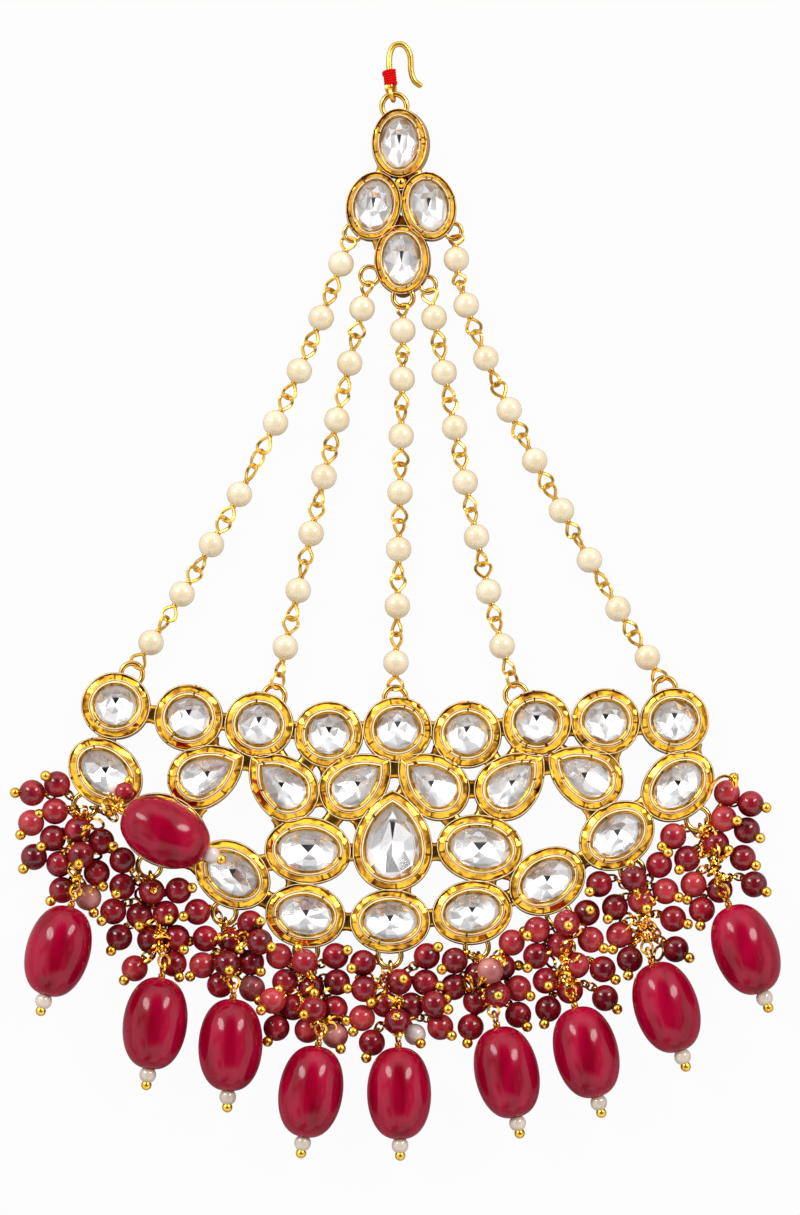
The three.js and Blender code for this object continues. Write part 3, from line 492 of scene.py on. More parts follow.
BEAD_LOOKS = {
    "deep": (RED_BEAD, RED_BEAD, WINE_BEAD, ROSE_BEAD),
    "pale": (PALE_BEAD,),
    "pearl": (CLEAR_PEARL,),
    "small": (RED_BEAD,),
}


# ---- forms
def square_to(axis):
    """The axis at unit length and two directions square to it and to each other."""
    axis = Vector(axis).normalized()
    side = axis.orthogonal().normalized()
    return axis, side, axis.cross(side)


def orbit(centre, one, other, angle, reach, other_reach=None):
    """The place at an angle on the circle or ellipse that two directions span."""
    rise = reach if other_reach is None else other_reach
    return centre + one * reach * math.cos(angle) + other * rise * math.sin(angle)


def circle(centre, one, other, count, reach, other_reach=None):
    return [orbit(centre, one, other, math.tau * k / count, reach, other_reach) for k in range(count)]


class Form:
    """Points and faces in the tables' millimetres, with the material of each face."""

    def __init__(self):
        self.points = []
        self.faces = []
        self.materials = []

    def skin(self, loops, material, closed=False):
        """Quads through loops of equally many points, with a cap at both ends; closed joins the last
        loop to the first instead."""
        start = len(self.points)
        count = len(loops[0])
        rows = len(loops)
        faces = []
        for row in range(rows if closed else rows - 1):
            below = start + row * count
            above = start + ((row + 1) % rows) * count
            for i in range(count):
                ahead = (i + 1) % count
                faces.append((below + i, below + ahead, above + ahead, above + i))
        if not closed:
            faces.append(tuple(range(start, start + count))[::-1])
            faces.append(tuple(range(start + (rows - 1) * count, start + rows * count)))
        self.points += [point for loop in loops for point in loop]
        self.faces += faces
        self.materials += [material] * len(faces)

    def tube(self, path, radius, material, sides=8, closed=False):
        """A wire along a path, whose section turns as little as it can."""
        last = len(path) - 1
        loops = []
        side = None
        for i, point in enumerate(path):
            before = path[i - 1] if (i or closed) else point
            after = path[(i + 1) % len(path)] if (i < last or closed) else point
            ahead = (after - before).normalized()
            side = side or ahead.orthogonal().normalized()
            side = (side - ahead * side.dot(ahead)).normalized()
            thick = radius(i / last) if callable(radius) else radius
            loops.append(circle(point, side, ahead.cross(side), sides, thick))
        self.skin(loops, material, closed)

    def lathe(self, centre, axis, profile, material, sides=24):
        """A round body on an axis; the profile is radius against distance along the axis."""
        axis, side, other = square_to(axis)
        self.skin([
            circle(centre + axis * rise, side, other, sides, reach) for reach, rise in profile
        ], material)

    def ball(self, centre, radius, material, axis=UP, sides=24, rows=16, hole=0.04):
        """A ball whose poles are flattened to the size of its drill hole."""
        start = math.asin(hole / radius)
        angles = [start + (math.pi - 2 * start) * i / rows for i in range(rows + 1)]
        profile = [(radius * math.sin(a), -radius * math.cos(a)) for a in angles]
        self.lathe(centre, axis, profile, material, sides)

    def loop(self, centre, along, across, shape, material):
        """An oval wire link in the plane of two directions."""
        half_length, half_width, wire, steps, sides = shape
        path = circle(centre, along, across, steps, half_length, half_width)
        self.tube(path, wire, material, sides, closed=True)

    def teardrop(self, root, along, across, length, width, wire, material, steps=24, sides=7):
        """A wire loop that is pinched at its root."""
        fullest = 1.3
        path = []
        for i in range(steps):
            angle = math.tau * (i + 0.5) / steps
            swell = math.sin(angle) * math.sin(angle / 2) * fullest / 2
            path.append(root + along * length * (1 - math.cos(angle)) / 2 + across * width * swell)
        self.tube(path, wire, material, sides, closed=True)

    def coil(self, centre, axis, shape, material, pitch=None):
        """Turns of wire wound round an axis, centred on a point."""
        radius, wire, turns = shape
        axis, side, other = square_to(axis)
        step = pitch or 1.8 * wire
        path = []
        for i in range(int(turns * COIL_STEPS) + 1):
            rise = step * (i / COIL_STEPS - turns / 2)
            path.append(orbit(centre + axis * rise, side, other, math.tau * i / COIL_STEPS, radius))
        self.tube(path, wire, material, 6)


def piece(name, form, replaced=(), sharp=38):
    """Makes the form a Blender object on the CAD body, standing for the named CAD nodes."""
    mesh = bpy.data.meshes.new(name)
    mesh.from_pydata([in_place(point) for point in form.points], [], form.faces)
    used = list(dict.fromkeys(form.materials))
    for material in used:
        mesh.materials.append(material)
    mesh.polygons.foreach_set("material_index", [used.index(m) for m in form.materials])
    work = bmesh.new()
    work.from_mesh(mesh)
    bmesh.ops.recalc_face_normals(work, faces=work.faces)
    work.to_mesh(mesh)
    work.free()
    mesh.shade_smooth()
    mesh.set_sharp_from_angle(angle=math.radians(sharp))
    mesh.update()
    made = new_object(name, mesh)
    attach(made, "root")
    if replaced:
        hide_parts(*replaced)


# ---- outlines
def oval_points(size, inset, steps):
    half_length, half_width = size["length"] / 2 - inset, size["width"] / 2 - inset
    turns = [math.tau * i / steps for i in range(steps)]
    return [(half_length * math.cos(turn), half_width * math.sin(turn)) for turn in turns]


def pear_points(size, inset, steps):
    """A round end and two side arcs that touch it and meet in the point."""
    radius, point = size["radius"], size["point"]
    drop = (point ** 2 - radius ** 2) / (2 * radius)
    side = drop + radius - inset
    tip = math.asin(drop / side)
    arc_steps = round(steps / 4)
    round_steps = steps - 2 * arc_steps
    angles = [tip + (math.pi / 2 - tip) * i / arc_steps for i in range(arc_steps + 1)]
    upper = [(side * math.cos(angle), side * math.sin(angle) - drop) for angle in angles]
    round_angles = [math.pi / 2 + math.pi * i / round_steps for i in range(round_steps)]
    end = [((radius - inset) * math.cos(a), (radius - inset) * math.sin(a)) for a in round_angles]
    lower = [(x, -y) for x, y in upper[:0:-1]]
    return upper[:-1] + end + lower


def outline(setting, inset, height, steps=OUTLINE_STEPS):
    """A setting's outline in place, drawn in by the inset, at one height."""
    _, size, x, y, tilt = setting
    flat = (pear_points if "point" in size else oval_points)(size, inset, steps)
    turn = math.radians(tilt)
    return [
        Vector((
            x + u * math.cos(turn) - v * math.sin(turn),
            y + u * math.sin(turn) + v * math.cos(turn),
            height,
        ))
        for u, v in flat
    ]


# ---- settings and stones
def wobble(lobes, depth):
    """A gentle uneven wave round a setting, as hand work leaves."""
    waves = [(lobe, rng.uniform(0, math.tau), depth * rng.uniform(0.5, 1)) for lobe in lobes]
    return lambda turn: sum(size * math.sin(lobe * turn + start) for lobe, start, size in waves)


def bezel_of(setting):
    return CROWN_BEZEL if setting[0].startswith("crown") else ARC_BEZEL


def add_setting(form, setting):
    lean = wobble((2, 3, 5), BAND["lean"])
    beaten = wobble((3, 5, 8, 13), BAND["beaten"])
    # Cells of the section that are painted dark as the shade of small nicks.
    nick_shade_cells = {rng.randrange(OUTLINE_STEPS): rng.choice(("band", "lip", "ridge")) for _ in range(TICKS)}
    loops = []
    for inset, height, _ in SETTING_SECTION:
        loop = outline(setting, inset * bezel_of(setting), height)
        middle = sum(loop, Vector()) / len(loop)
        on_band = max(0.0, 1 - abs(inset - BAND["middle"]) / BAND["reach"])
        leaning = min(1.0, height / BAND["outer_height"]) if inset < BAND["inner"] else 0.0
        flare = CROWN_FLARE.get(setting[0], 0.0) * max(0.0, 1 - height / BAND["flare_top"]) ** 0.5
        for i, point in enumerate(loop):
            turn = math.tau * i / len(loop)
            inward = middle - point
            inward.z = 0
            point += inward.normalized() * lean(turn) * leaning
            if point.x > middle.x:
                point.x += flare
            if height > BAND["beaten_above"]:
                point.z = min(BAND["top"], point.z + beaten(turn) * (0.4 + 1.6 * on_band))
        loops.append(loop)
    rows = [
        NICK_SHADE if nick_shade_cells.get(i) == look else SECTION_LOOKS[look]
        for _, _, look in SETTING_SECTION[:-1]
        for i in range(OUTLINE_STEPS)
    ]
    start = len(form.materials)
    form.skin(loops, SECTION_LOOKS["wall"])
    form.materials[start:start + len(rows)] = rows


def add_bar(form, one, other):
    """A smooth solder bar where two settings come close."""
    edges = [outline(setting, 0, 0, OUTLINE_STEPS // 2) for setting in (one, other)]
    a, b = min(itertools.product(*edges), key=lambda pair: (pair[0] - pair[1]).length)
    gap = (a - b).length
    if gap > BAR["longest"]:
        return
    across = Vector((other[2] - one[2], other[3] - one[3], 0)).normalized()
    side = Vector((-across.y, across.x, 0))
    middle = (a + b) / 2 + UP * BAR["middle"]
    reach = gap / 2 + BAR["bite"]
    loops = []
    for share in (-1, -0.5, -0.2, 0, 0.2, 0.5, 1):
        pinch = 0.86 + 0.14 * abs(share)
        half_width, half_height = BAR["width"] / 2 * pinch, BAR["half_height"] * pinch
        loops.append(circle(middle + across * reach * share, side, UP, 20, half_width, half_height))
    # The bar takes the wall look, which paints it with shade.
    form.skin(loops, SECTION_LOOKS["wall"])


def frame_form(settings, rings):
    form = Form()
    for i, setting in enumerate(settings):
        add_setting(form, setting)
        for other in settings[i + 1:]:
            add_bar(form, setting, other)
    for x, y, radius, wire in rings:
        centre = Vector((x, y, RING_HEIGHT))
        form.loop(centre, RIGHT, FAR, (radius, radius, wire + RING_SWELL, 40, 10), RING_GOLD)
    return form


def crown_form():
    """The crown's frame with the seed ball at its middle and the plate at its foot."""
    form = frame_form(CROWN_SETTINGS, CROWN_RINGS)
    form.ball(Vector(CROWN_BALL["centre"]), CROWN_BALL["radius"], GOLD, UP, 28, 18)
    foot = Vector(CROWN_PLATE["foot"])
    form.skin([
        circle(foot + UP * rise, RIGHT, FAR, 24, half_width, half_length)
        for rise, half_width, half_length in CROWN_PLATE["levels"]
    ], BRONZE)
    return form


def painted_light_foil_for(place, middle):
    """A back facet's silvering, painted lit or shaded as a stand-in for its reflection: greyer on the
    lower side of a stone.
    """
    if (place - middle).y > rng.uniform(-0.2, 0.7):
        return rng.choice((PAINTED_HALF_LIT_FOIL, PAINTED_LIT_FOIL, PAINTED_LIT_FOIL, PAINTED_LIT_FOIL))
    return rng.choice((PAINTED_SHADE_FOIL, PAINTED_SHADE_FOIL, PAINTED_HALF_LIT_FOIL, PAINTED_HALF_LIT_FOIL, PAINTED_HALF_LIT_FOIL, PAINTED_LIT_FOIL))


def nearest(point, places):
    return min(range(len(places)), key=lambda k: (places[k] - point).length)


def stone_points(setting, facets):
    """A stone's rings of points from its edge over the table and from the edge down to the foot."""
    edge = STONE["edge"] * bezel_of(setting)
    girdle = outline(setting, edge, STONE["girdle"], facets * 2)
    shoulder = outline(setting, edge + STONE["shoulder_inset"], STONE["shoulder"], facets * 2)
    table = outline(setting, edge + STONE["table_inset"], TABLE_HEIGHT, facets)
    middle = sum(table, Vector()) / facets
    middle.z = 0
    # The foot is the facet that is painted dark as a reflection.
    kind = next(kind for kind in PAINTED_DARK_REFLECTION_FACETS if kind in setting[0])
    shift, head, tail, half = PAINTED_DARK_REFLECTION_FACETS[kind]
    heart = middle + UP * STONE["foot"] + direction(setting[4]) * shift
    foot = [
        heart + Vector((-half, head, 0)),
        heart + Vector((half, head + rng.uniform(-0.1, 0.1), 0)),
        heart + Vector((rng.uniform(-0.1, 0.1), tail, 0)),
    ]
    belt = []
    for i in range(facets):
        place = middle.lerp(girdle[2 * i], 0.85 + rng.uniform(-0.05, 0.03))
        place.z = STONE["belt"] + rng.uniform(-0.06, 0.06)
        belt.append(place)
    waist = []
    for i in range(facets):
        between = (belt[i] + belt[(i + 1) % facets]) / 2
        place = between.lerp(foot[nearest(between, foot)], rng.uniform(0.36, 0.56))
        place.z += rng.uniform(-0.05, 0.07)
        waist.append(place)
    return middle, (girdle, shoulder, table, belt, waist, foot)


def stone_form(setting):
    """A clear faceted top over a silvered faceted back, painted in lit and shaded greys with a painted
    dark reflection at its foot.
    """
    facets = 8 if setting[1] in (ROUND, SMALL_OVAL) else 11
    middle, rings = stone_points(setting, facets)
    starts = itertools.accumulate((len(ring) for ring in rings), initial=0)
    girdle, shoulder, table, belt, waist, foot = (
        range(start, start + len(ring)) for start, ring in zip(starts, rings)
    )
    corners = [nearest(place, rings[-1]) for place in rings[-2]]
    count = 2 * facets
    clear = []
    rim = []
    back = []
    for i in range(count):
        ahead = (i + 1) % count
        clear.append((girdle[i], girdle[ahead], shoulder[ahead], shoulder[i]))
    for i in range(facets):
        ahead = (i + 1) % facets
        a, b, c = 2 * i, 2 * i + 1, (2 * i + 2) % count
        clear += [
            (shoulder[a], shoulder[b], table[i]),
            (shoulder[b], table[ahead], table[i]),
            (shoulder[b], shoulder[c], table[ahead]),
        ]
        rim += [
            (girdle[a], belt[i], girdle[b]),
            (girdle[b], belt[i], belt[ahead]),
            (girdle[b], belt[ahead], girdle[c]),
        ]
        here, there = foot[corners[i]], foot[corners[ahead]]
        back += [
            (belt[i], waist[i], belt[ahead]),
            (belt[ahead], waist[i], waist[ahead]),
            (waist[i], here, waist[ahead]),
        ]
        if here != there:
            back.append((waist[ahead], here, there))
    clear.append(tuple(table))
    form = Form()
    form.points = [point for ring in rings for point in ring]
    form.faces = [*clear, *rim, *back, tuple(foot)]
    form.materials = [CRYSTAL] * len(clear)
    form.materials += [BROWN_FOIL if rng.random() < 0.12 else RIM_FOIL for _ in rim]
    for face in back:
        place = sum((form.points[corner] for corner in face), Vector()) / len(face)
        form.materials.append(painted_light_foil_for(place, middle))
    # The foot facet is painted dark, as a painted reflection of a dark thing above.
    form.materials.append(PAINTED_DARK_REFLECTION_FOIL)
    return form


# ---- routes
class Route:
    """A quadratic curve whose places are found by the distance along it."""

    def __init__(self, start, control, end, steps=400):
        self.points = [
            start * (1 - t) ** 2 + control * 2 * t * (1 - t) + end * t ** 2
            for t in (i / steps for i in range(steps + 1))
        ]
        pieces = [(after - before).length for before, after in zip(self.points, self.points[1:])]
        self.lengths = list(itertools.accumulate(pieces, initial=0.0))
        self.length = self.lengths[-1]

    def at(self, along):
        along = min(max(along, 0.0), self.length)
        low = min(bisect.bisect_right(self.lengths, along), len(self.lengths) - 1) - 1
        share = (along - self.lengths[low]) / (self.lengths[low + 1] - self.lengths[low])
        return self.points[low].lerp(self.points[low + 1], share)

    def ahead(self, along):
        return (self.at(along + 0.2) - self.at(along - 0.2)).normalized()


def ring_exit(ring, towards):
    """Where a line that leaves a ring towards a point crosses the ring's wire."""
    x, y, radius, _ = ring
    way = Vector((towards[0] - x, towards[1] - y, 0)).normalized()
    return Vector((x, y, RING_HEIGHT)) + way * radius, way


def smooth_route(points, steps=8):
    """A Catmull-Rom curve through the points."""
    knots = [Vector(point) for point in points]
    knots = [2 * knots[0] - knots[1], *knots, 2 * knots[-1] - knots[-2]]
    path = []
    for a, b, c, d in zip(knots, knots[1:], knots[2:], knots[3:]):
        for i in range(steps):
            t = i / steps
            path.append(
                0.5 * (2 * b + (c - a) * t + (2 * a - 5 * b + 4 * c - d) * t ** 2
                       + (3 * b - a - 3 * c + d) * t ** 3)
            )
    path.append(knots[-2])
    return path


def rolled(ahead, roll):
    """A direction square to the line, turned from level by the roll in degrees."""
    level = UP.cross(ahead).normalized()
    return Quaternion(ahead, math.radians(roll)) @ level


def level_of(way):
    return Vector((way.x, way.y, 0)).normalized()


# ---- pearl strands
def linked(form, start, end, kinds):
    """Interlinked loops between two places; a kind is 'from', 'to' or 'ring' by where its root is."""
    overlap, width, wire = LINK["overlap"], LINK["width"], LINK["wire"]
    line = end - start
    ahead = line.normalized()
    length = (line.length + overlap * (len(kinds) - 1)) / len(kinds)
    roll = rng.uniform(20, 60)
    for i, kind in enumerate(kinds):
        low = start + ahead * (length - overlap) * i
        high = low + ahead * length
        across = rolled(ahead, roll)
        if kind == "from":
            form.teardrop(low, ahead, across, length, width, wire, WIRE_GOLD)
        elif kind == "to":
            form.teardrop(high, -ahead, across, length, width, wire, WIRE_GOLD)
        else:
            shape = (length / 2, LINK["ring"], wire, 20, 6)
            form.loop((low + high) / 2, ahead, across, shape, WIRE_GOLD)
        roll += 90 + rng.uniform(-22, 22)


def strand_forms(strand):
    crown, arc, bow, bend, lead, first, pitch, pearls, extra = strand
    upper, _ = ring_exit(CROWN_RINGS[crown], ARC_RINGS[arc])
    lower, _ = ring_exit(ARC_RINGS[arc], CROWN_RINGS[crown])
    control = upper.lerp(lower, bend) + RIGHT * 2 * bow
    control.z = PEARL_RADIUS
    route = Route(upper, control, lower)
    beads, links = Form(), Form()
    ends = [upper - route.ahead(0) * LINK["bite"]]
    along = lead
    for i in range(1, pearls + 1):
        centre = route.at(along)
        centre.z = PEARL_RADIUS
        ahead = route.ahead(along)
        ends += [centre - ahead * LINK["reach"], centre + ahead * LINK["reach"]]
        level = level_of(ahead)
        beads.ball(centre, PEARL_RADIUS, PEARL, level, 36, 24, 0.3)
        for sign in (-1, 1):
            hole = centre + level * sign * (PEARL_RADIUS + 0.06)
            links.coil(hole, level, COLLAR, WIRE_GOLD)
        along += (first if i == 1 else pitch) + (EXTRA_LINK if i == extra else 0)
    ends.append(lower + route.ahead(route.length) * LINK["bite"])
    for i in range(0, len(ends), 2):
        start, end = ends[i], ends[i + 1]
        gap = (end - start).length
        if i == 0:
            kinds = ["to"]
        elif i == len(ends) - 2:
            kinds = ["from"] if gap < LINK["one_to"] else ["from", "ring"]
        else:
            kinds = ["from", "to"] if gap < LINK["two_to"] else ["from", "ring", "to"]
        linked(links, start, end, kinds)
    return beads, links


# ---- drops
def drop_place(drop):
    """A drop's middle, the way that it hangs and the eye that it hangs from."""
    _, x, y, hangs, on_top = drop
    ahead = direction(hangs)
    centre = Vector((x, y, TABLE_HEIGHT + DROP_RADIUS + GAP if on_top else DROP_RADIUS))
    return centre, ahead, centre - ahead * DROP_EYE_REACH


def drop_forms(drop):
    centre, ahead, eye = drop_place(drop)
    rows = 36
    angles = [math.pi * i / rows for i in range(1, rows)]
    skin = [(DROP_RADIUS * math.sin(a) ** DROP_FULLNESS, -DROP_HALF * math.cos(a)) for a in angles]
    bottom = DROP_HALF - DROP_HOLE["depth"]
    profile = [(DROP_HOLE["radius"], -bottom), *skin, (DROP_HOLE["radius"], bottom)]
    ruby, pearl, pin = Form(), Form(), Form()
    ruby.lathe(centre, ahead, profile, RUBY, 64)
    look = CLEAR_PEARL if drop[0] == "drop_turned_up" else PIN_PEARL
    pearl.ball(centre + ahead * DROP_PEARL["reach"], DROP_PEARL["radius"], look, ahead, 28, 18, 0.2)
    for start, end in ((-DROP_HALF - 0.6, 0.3 - DROP_HALF), (DROP_HALF - 0.3, 7.6)):
        pin.tube([centre + ahead * start, centre + ahead * end], 0.2, GOLD)
    pin.ball(centre + ahead * DROP_BALL["reach"], DROP_BALL["radius"], BALL_GOLD, ahead, 18, 12)
    pin.coil(centre - ahead * (DROP_HALF + 0.15), ahead, DROP_COIL, GOLD)
    pin.loop(eye, ahead, rolled(ahead, 68), DROP_EYE, GOLD)
    return ruby, pearl, pin


# ---- fringe
def chain_of(sprig, drop):
    """The chain from the eye on a jump ring to the link in the eye of its drop."""
    name, ring_number, _ = sprig
    ring = ARC_RINGS[ring_number]
    _, ahead, eye = drop_place(drop)
    turned_up = name == "fringe_turned_up"
    right, up = TURNED_UP["leaves"] if turned_up else (eye.x - ring[0], eye.y - ring[1])
    exit_point, outward = ring_exit(ring, (ring[0] + right, ring[1] + up))
    start = exit_point + outward * LINK_RADIUS
    link = eye - ahead * LINK_RADIUS
    sag = start.lerp(link, 0.5)
    if turned_up:
        sag += outward * TURNED_UP["swing"]
    sag.z = TURNED_UP["sag"] if turned_up else CHAIN["sag"]
    arrival = level_of(link - sag)
    return Route(start, sag, link - arrival * LINK_RADIUS), exit_point, outward, link, arrival


def push(one, other, clear, share=1.0, other_share=0.0):
    """Moves two places apart, each by its share of what they lack to be clear of each other."""
    way = [a - b for a, b in zip(one, other)]
    length = math.hypot(*way)
    if length >= clear:
        return
    for place, part in ((one, share), (other, -other_share)):
        if part:
            for k in range(3):
                place[k] += part * way[k] * (clear - length) / length


def settle(beads, posts):
    """Pushes the beads apart until none lies in another, in a post or in the floor. A post is an
    upright round bar: x, y, the heights of the middles of its rounded ends, and its radius."""
    apart = 2 * BEAD_RADIUS
    for i, bead in enumerate(beads):
        place = bead["place"]
        for lower in (other["place"] for other in beads[:i]):
            flat = math.dist(place[:2], lower[:2])
            if flat < apart - SETTLING["over"]:
                lift = SETTLING["lift"] * math.sqrt(apart ** 2 - flat ** 2)
                place[2] = max(place[2], lower[2] + lift)
    pairs = []
    for one, other in itertools.combinations(beads, 2):
        if math.dist(one["place"][:2], other["place"][:2]) < SETTLING["near"]:
            space = SETTLING["space"] if one["sprig"] == other["sprig"] else GAP
            pairs.append((one["place"], other["place"], apart + space))
    reach = SETTLING["near_post"]
    near_posts = [
        [post for post in posts if math.dist(bead["place"][:2], post[:2]) < post[4] + reach]
        for bead in beads
    ]
    for _ in range(SETTLING["rounds"]):
        for bead in beads:
            for k, pull in enumerate(SETTLING["pull"]):
                bead["place"][k] += pull * (bead["home"][k] - bead["place"][k])
        for one, other, clear in pairs:
            push(one, other, clear, 0.5, 0.5)
        for bead, closest in zip(beads, near_posts):
            place = bead["place"]
            for x, y, low, high, radius in closest:
                push(place, (x, y, max(low, min(place[2], high))), BEAD_RADIUS + radius + GAP / 2)
            place[2] = max(place[2], BEAD_RADIUS)


def settled_beads():
    beads = []
    for name, _, rows in SPRIGS:
        height = TURNED_UP["height"] if name == "fringe_turned_up" else BEAD_RADIUS
        for x, y, *pin in rows:
            look = pin.pop() if pin and isinstance(pin[-1], str) else "deep"
            beads.append({
                "place": [x, y, height], "home": (x, y, height), "sprig": name, "pin": pin,
                "look": look,
            })
    posts = [
        (point.x, point.y, 0.0, RIM_TOP, 0.0)
        for setting in ARC_SETTINGS
        for point in outline(setting, 0, 0, 40)
    ]
    posts += [
        (x + radius * math.cos(turn), y + radius * math.sin(turn), 0.0, RING_HEIGHT, wire)
        for x, y, radius, wire in ARC_RINGS
        for turn in (math.tau * i / 16 for i in range(16))
    ]
    for centre, ahead, _ in (drop_place(drop) for drop in DROPS):
        for share in (-0.85, -0.6, -0.3, 0, 0.3, 0.6, 0.85):
            middle = centre + ahead * share * DROP_HALF
            bulge = DROP_RADIUS * math.sqrt(1 - share ** 2)
            posts.append((middle.x, middle.y, middle.z, middle.z, bulge))
    settle(beads, posts)
    return beads


def add_chain(form, places):
    """Small links through places that are about a pitch apart."""
    roll = rng.uniform(0, 90)
    for before, after in zip(places, places[1:]):
        line = after - before
        if line.length < 0.05:
            continue
        ahead = line.normalized()
        across = square_to(ahead)[1] if abs(ahead.z) > 0.9 else rolled(ahead, roll)
        shape = (line.length / 2 + CHAIN["overlap"], CHAIN["half_width"], CHAIN["wire"], 14, 5)
        form.loop((before + after) / 2, ahead, across, shape, GOLD)
        roll += 90 + rng.uniform(-25, 25)


def add_tangle(form, route, loops):
    """Loose turns of the wire ends that crowd round the chain."""
    wire = TANGLE["wire"]
    for _ in range(loops):
        place = route.at(route.length * rng.uniform(0.05, 0.95))
        place += Vector([rng.uniform(-1, 1) * TANGLE["reach"] for _ in range(3)])
        place.z = rng.uniform(*TANGLE["height"])
        way, across, _ = square_to([rng.uniform(-1, 1) for _ in range(3)])
        radius = rng.uniform(*TANGLE["radius"])
        place.z = max(place.z, radius + wire)
        form.loop(place, way, across, (radius, radius * rng.uniform(0.6, 1), wire, 18, 6), GOLD)


def add_loose_bead(stones, wires):
    """The milky bead that has slipped on to a stone, with the ball of its pin."""
    centre, cap = Vector(LOOSE_BEAD["centre"]), Vector(LOOSE_BEAD["cap"])
    way = (cap - centre).normalized()
    stones.ball(centre, LOOSE_BEAD["radius"], CLEAR_PEARL, way, 32, 22, 0.2)
    wires.ball(cap, LOOSE_BEAD["cap_radius"], GOLD, way, 18, 12)


def add_bead(stones, wires, bead, holds):
    """A bead on its head pin, with the eye at its root and the chain to the nearest hold."""
    centre = Vector(bead["place"])
    hold = min(holds, key=lambda place: (place - centre).length)
    if bead["pin"]:
        dx, dy = bead["pin"]
        rise = math.sqrt(PIN_BALL["reach"] ** 2 - dx ** 2 - dy ** 2)
        way = Vector((dx, dy, rise)).normalized()
    else:
        way = centre - hold
        way.z = min(way.z, 0) - 0.8
        way.normalize()
    radius = SMALLER_BEADS.get(bead["look"], BEAD_RADIUS)
    stones.ball(centre, radius, rng.choice(BEAD_LOOKS[bead["look"]]), way, 32, 22, 0.22)
    offset = PIN_BALL["offset"]
    ball = centre + way * PIN_BALL["reach"] * (radius + offset) / (BEAD_RADIUS + offset)
    if ball.z > PIN_BALL["radius"]:
        wires.ball(ball, PIN_BALL["radius"], BALL_GOLD, way, 18, 12)
        wires.coil(centre + way * (radius + 0.02), way, BALL_COIL, GOLD)
    root = centre - way * (radius + 0.05)
    if root.z > PIN_ROOT["lowest_coil"]:
        wires.coil(root, way, ROOT_COIL, GOLD)
    along = ((hold - root).normalized() - way * 0.8).normalized()
    eye = root + along * PIN_ROOT["reach"]
    eye.z = max(eye.z, PIN_ROOT["lowest_eye"])
    wires.loop(eye, along, square_to(along)[1], ROOT_EYE, GOLD)
    far_end = eye + along * 0.5
    gap = (hold - far_end).length
    if gap < PIN_ROOT["chain"]:
        links = max(1, round(gap / CHAIN["pitch"]))
        add_chain(wires, [far_end.lerp(hold, i / links) for i in range(links + 1)])


def fringe_forms(sprig, drop, beads):
    route, exit_point, outward, link, arrival = chain_of(sprig, drop)
    stones, wires = Form(), Form()
    steps = round(route.length / CHAIN["pitch"])
    add_chain(wires, [route.at(route.length * i / steps) for i in range(steps + 1)])
    wires.loop(exit_point, outward, rolled(outward, 80), RING_EYE, GOLD)
    wires.loop(link, arrival, rolled(arrival, 12), DROP_LINK, GOLD)
    if sprig[0] == "fringe_turned_up":
        add_tangle(wires, route, TURNED_UP["loops"])
        add_loose_bead(stones, wires)
    else:
        add_tangle(wires, route, TANGLE["loops"])
    if sprig[0] == "fringe_9":
        wires.tube(smooth_route(OPEN_LOOP), 0.2, GOLD)
    holds = [route.at(route.length * share) for share in (0.1, 0.3, 0.5, 0.7, 0.9)]
    for bead in beads:
        add_bead(stones, wires, bead, holds)
    return stones, wires


# ---- hook and thread
def hook_form():
    form = Form()

    def thickness(share):
        end = min(share, 1 - share) / 0.02
        return HOOK_WIRE * math.sqrt(max(0.08, 1 - max(0.0, 1 - end) ** 2))

    form.tube(smooth_route(HOOK_ROUTE), thickness, WIRE_GOLD, 16)
    point, way = ring_exit(CROWN_RINGS[0], HOOK_ROUTE[0])
    form.loop(point, way, rolled(way, 78), HOOK_EYE, WIRE_GOLD)
    form.loop(point + way * 0.75, way, rolled(way, 20), HOOK_LINK, WIRE_GOLD)
    return form


def thread_form():
    form = Form()
    foot = Vector(HOOK_ROUTE[0])
    axis, side, other = square_to(Vector(HOOK_ROUTE[1]) - foot)
    for rise, shape in THREAD_LAYERS:
        form.coil(foot + axis * rise, axis, shape, THREAD, THREAD_PITCH)
    for start in LOOSE_TURNS:
        path = [
            orbit(foot + axis * (0.75 + 1.4 * i / 8), side, other, start + 2.4 * i / 8, 0.86)
            for i in range(9)
        ]
        form.tube(path, 0.1, THREAD, 6)
    return form


# ---- pieces
piece("crown_settings", crown_form(), ["crown_frame"])
piece("arc_settings", frame_form(ARC_SETTINGS, ARC_RINGS), ["arc_frame"])

for setting in CROWN_SETTINGS + ARC_SETTINGS:
    name = setting[0]
    piece(f"crystal_{name}", stone_form(setting), [f"stone_{name}"], sharp=4)

for number, strand in enumerate(STRANDS, 1):
    beads, links = strand_forms(strand)
    piece(f"strand_{number}_pearls", beads, [f"strand_{number}"])
    piece(f"strand_{number}_links", links)

for drop in DROPS:
    name = drop[0]
    ruby, pearl, pin = drop_forms(drop)
    piece(f"{name}_ruby", ruby, [name])
    piece(f"{name}_pearl", pearl)
    piece(f"{name}_pin", pin)

all_beads = settled_beads()
for sprig, drop in zip(SPRIGS, DROPS):
    name = sprig[0]
    own = [bead for bead in all_beads if bead["sprig"] == name]
    stones, wires = fringe_forms(sprig, drop, own)
    piece(f"{name}_beads", stones, [name])
    piece(f"{name}_wires", wires)

piece("hair_hook", hook_form(), ["hook"])
piece("hook_thread", thread_form(), ["thread_wrap"])


# ---- stage, light and camera
def aim(thing, azimuth, elevation, distance):
    """Puts a light or camera at its place round the middle of the view, which it faces."""
    target = in_place(VIEW_CENTRE)
    thing.location = target + direction(azimuth, elevation) * distance
    thing.rotation_mode = "QUATERNION"
    thing.rotation_quaternion = (thing.location - target).to_track_quat("Z", "Y")


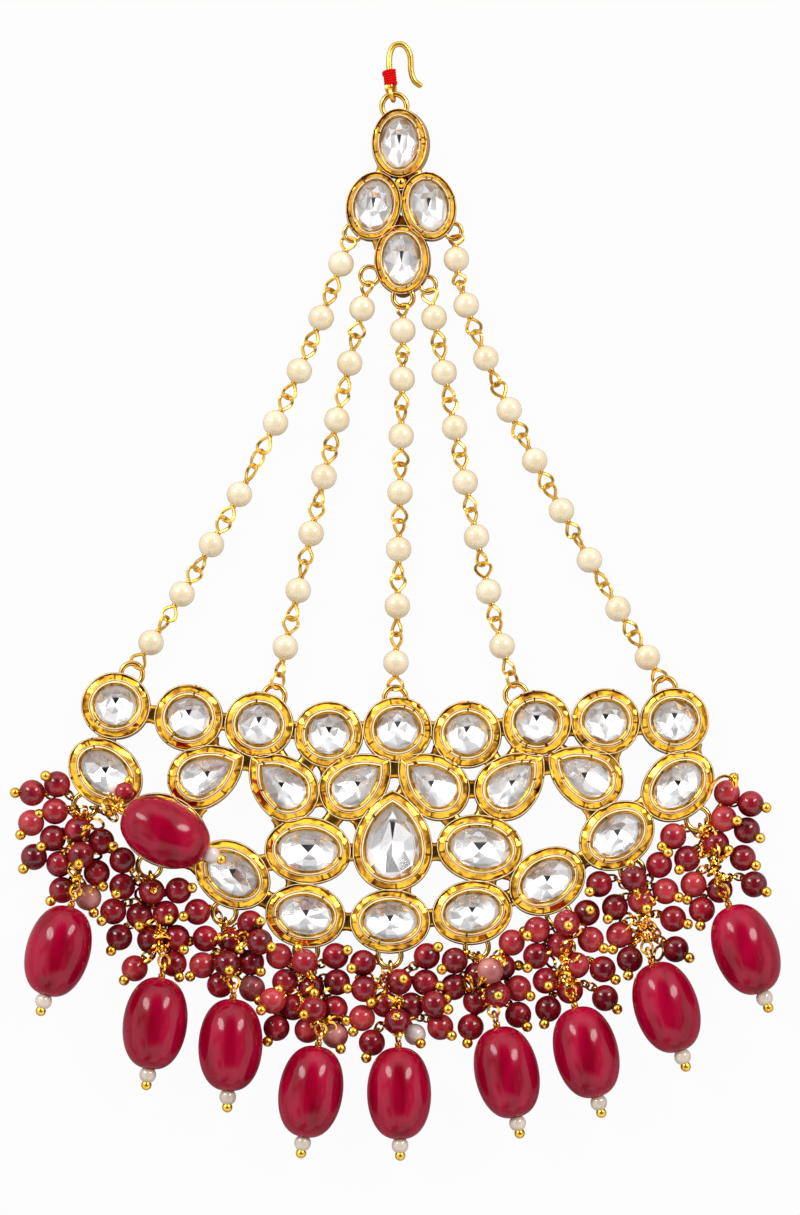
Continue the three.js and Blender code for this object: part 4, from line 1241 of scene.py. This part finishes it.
def make_floor():
    mesh = bpy.data.meshes.new("floor")
    corners = [(-FLOOR, -FLOOR, 0), (FLOOR, -FLOOR, 0), (FLOOR, FLOOR, 0), (-FLOOR, FLOOR, 0)]
    mesh.from_pydata(corners, [], [(0, 1, 2, 3)])
    mesh.materials.append(floor_material())
    floor = new_object("floor", mesh)


def make_light(name, azimuth, elevation):
    """An oval softbox that faces the piece; its power follows from the radiance that it shows."""
    data = bpy.data.lights.new(name, "AREA")
    data.shape = "ELLIPSE"
    data.size = SOFTBOX["width"]
    data.size_y = SOFTBOX["height"]
    area = math.pi / 4 * data.size * data.size_y
    data.energy = SOFTBOX["radiance"] * math.pi * area
    light = new_object(name, data)
    aim(light, azimuth, elevation, SOFTBOX["distance"])
    light.visible_camera = False


def make_world():
    """Soft surroundings: a glow low at the back, higher at both sides, and dark straight above."""
    world = bpy.data.worlds.new("studio")
    bpy.context.scene.world = world
    world.use_nodes = True
    tree = world.node_tree
    place = add_node(tree, "TexCoord").outputs["Generated"]
    split = add_node(tree, "SeparateXYZ", {"Vector": place})
    x, y, z = (split.outputs[key] for key in "XYZ")
    aside = math_of(tree, "ABSOLUTE", x)
    nearer = math_of(tree, "MULTIPLY", y, -1.0)
    rises = [(aside, 0.30, 0.12, 0.44), (nearer, 0.32, 0.20, 0.70), (y, 0.10, 0.30, 0.80)]
    raised = 0.0
    for source, top, start, end in rises:
        rise = range_of(tree, source, 0.0, top, start, end, "SMOOTHSTEP")
        raised = math_of(tree, "MAXIMUM", raised, rise)
    height = range_of(tree, math_of(tree, "SUBTRACT", z, raised), 0.0, 1.0, -0.4, 1.0)
    glow = ramp_of(tree, height, [
        (0.0, (0.88, 0.88, 0.89)), (0.30, (0.96, 0.96, 0.97)), (0.58, (1.05, 1.05, 1.05)),
        (0.69, (0.36, 0.36, 0.36)), (0.78, (0.05, 0.05, 0.05)),
    ])
    inputs = {"Vector": place, "Scale": 1.9, "Detail": 1.0}
    clutter = add_node(tree, "TexNoise", inputs).outputs["Fac"]
    shapes = ramp_of(tree, clutter, [
        (0.36, (0.30, 0.28, 0.26)), (0.47, (1.0, 1.0, 1.0)), (0.64, (1.12, 1.12, 1.12)),
    ])
    parts = {"Factor": 1.0, "A": glow, "B": shapes}
    mix = add_node(tree, "Mix", parts, data_type="RGBA", blend_type="MULTIPLY")
    strength = range_of(tree, y, 1.14, 1.39, 0.25, 0.75, "SMOOTHSTEP")
    fill(tree, tree.nodes["Background"], {"Color": mix.outputs["Result"], "Strength": strength})


def make_camera():
    data = bpy.data.cameras.new("camera")
    data.sensor_width = CAMERA["sensor"]
    data.lens = CAMERA["sensor"] * CAMERA["distance"] / (CAMERA["view_height"] * MM)
    data.clip_end = 10
    camera = new_object("camera", data)
    aim(camera, -90, CAMERA["elevation"], CAMERA["distance"])
    bpy.context.scene.camera = camera


make_floor()
make_world()
for softbox in SOFTBOXES:
    make_light(*softbox)
make_camera()
bpy.context.scene.view_settings.view_transform = "Standard"
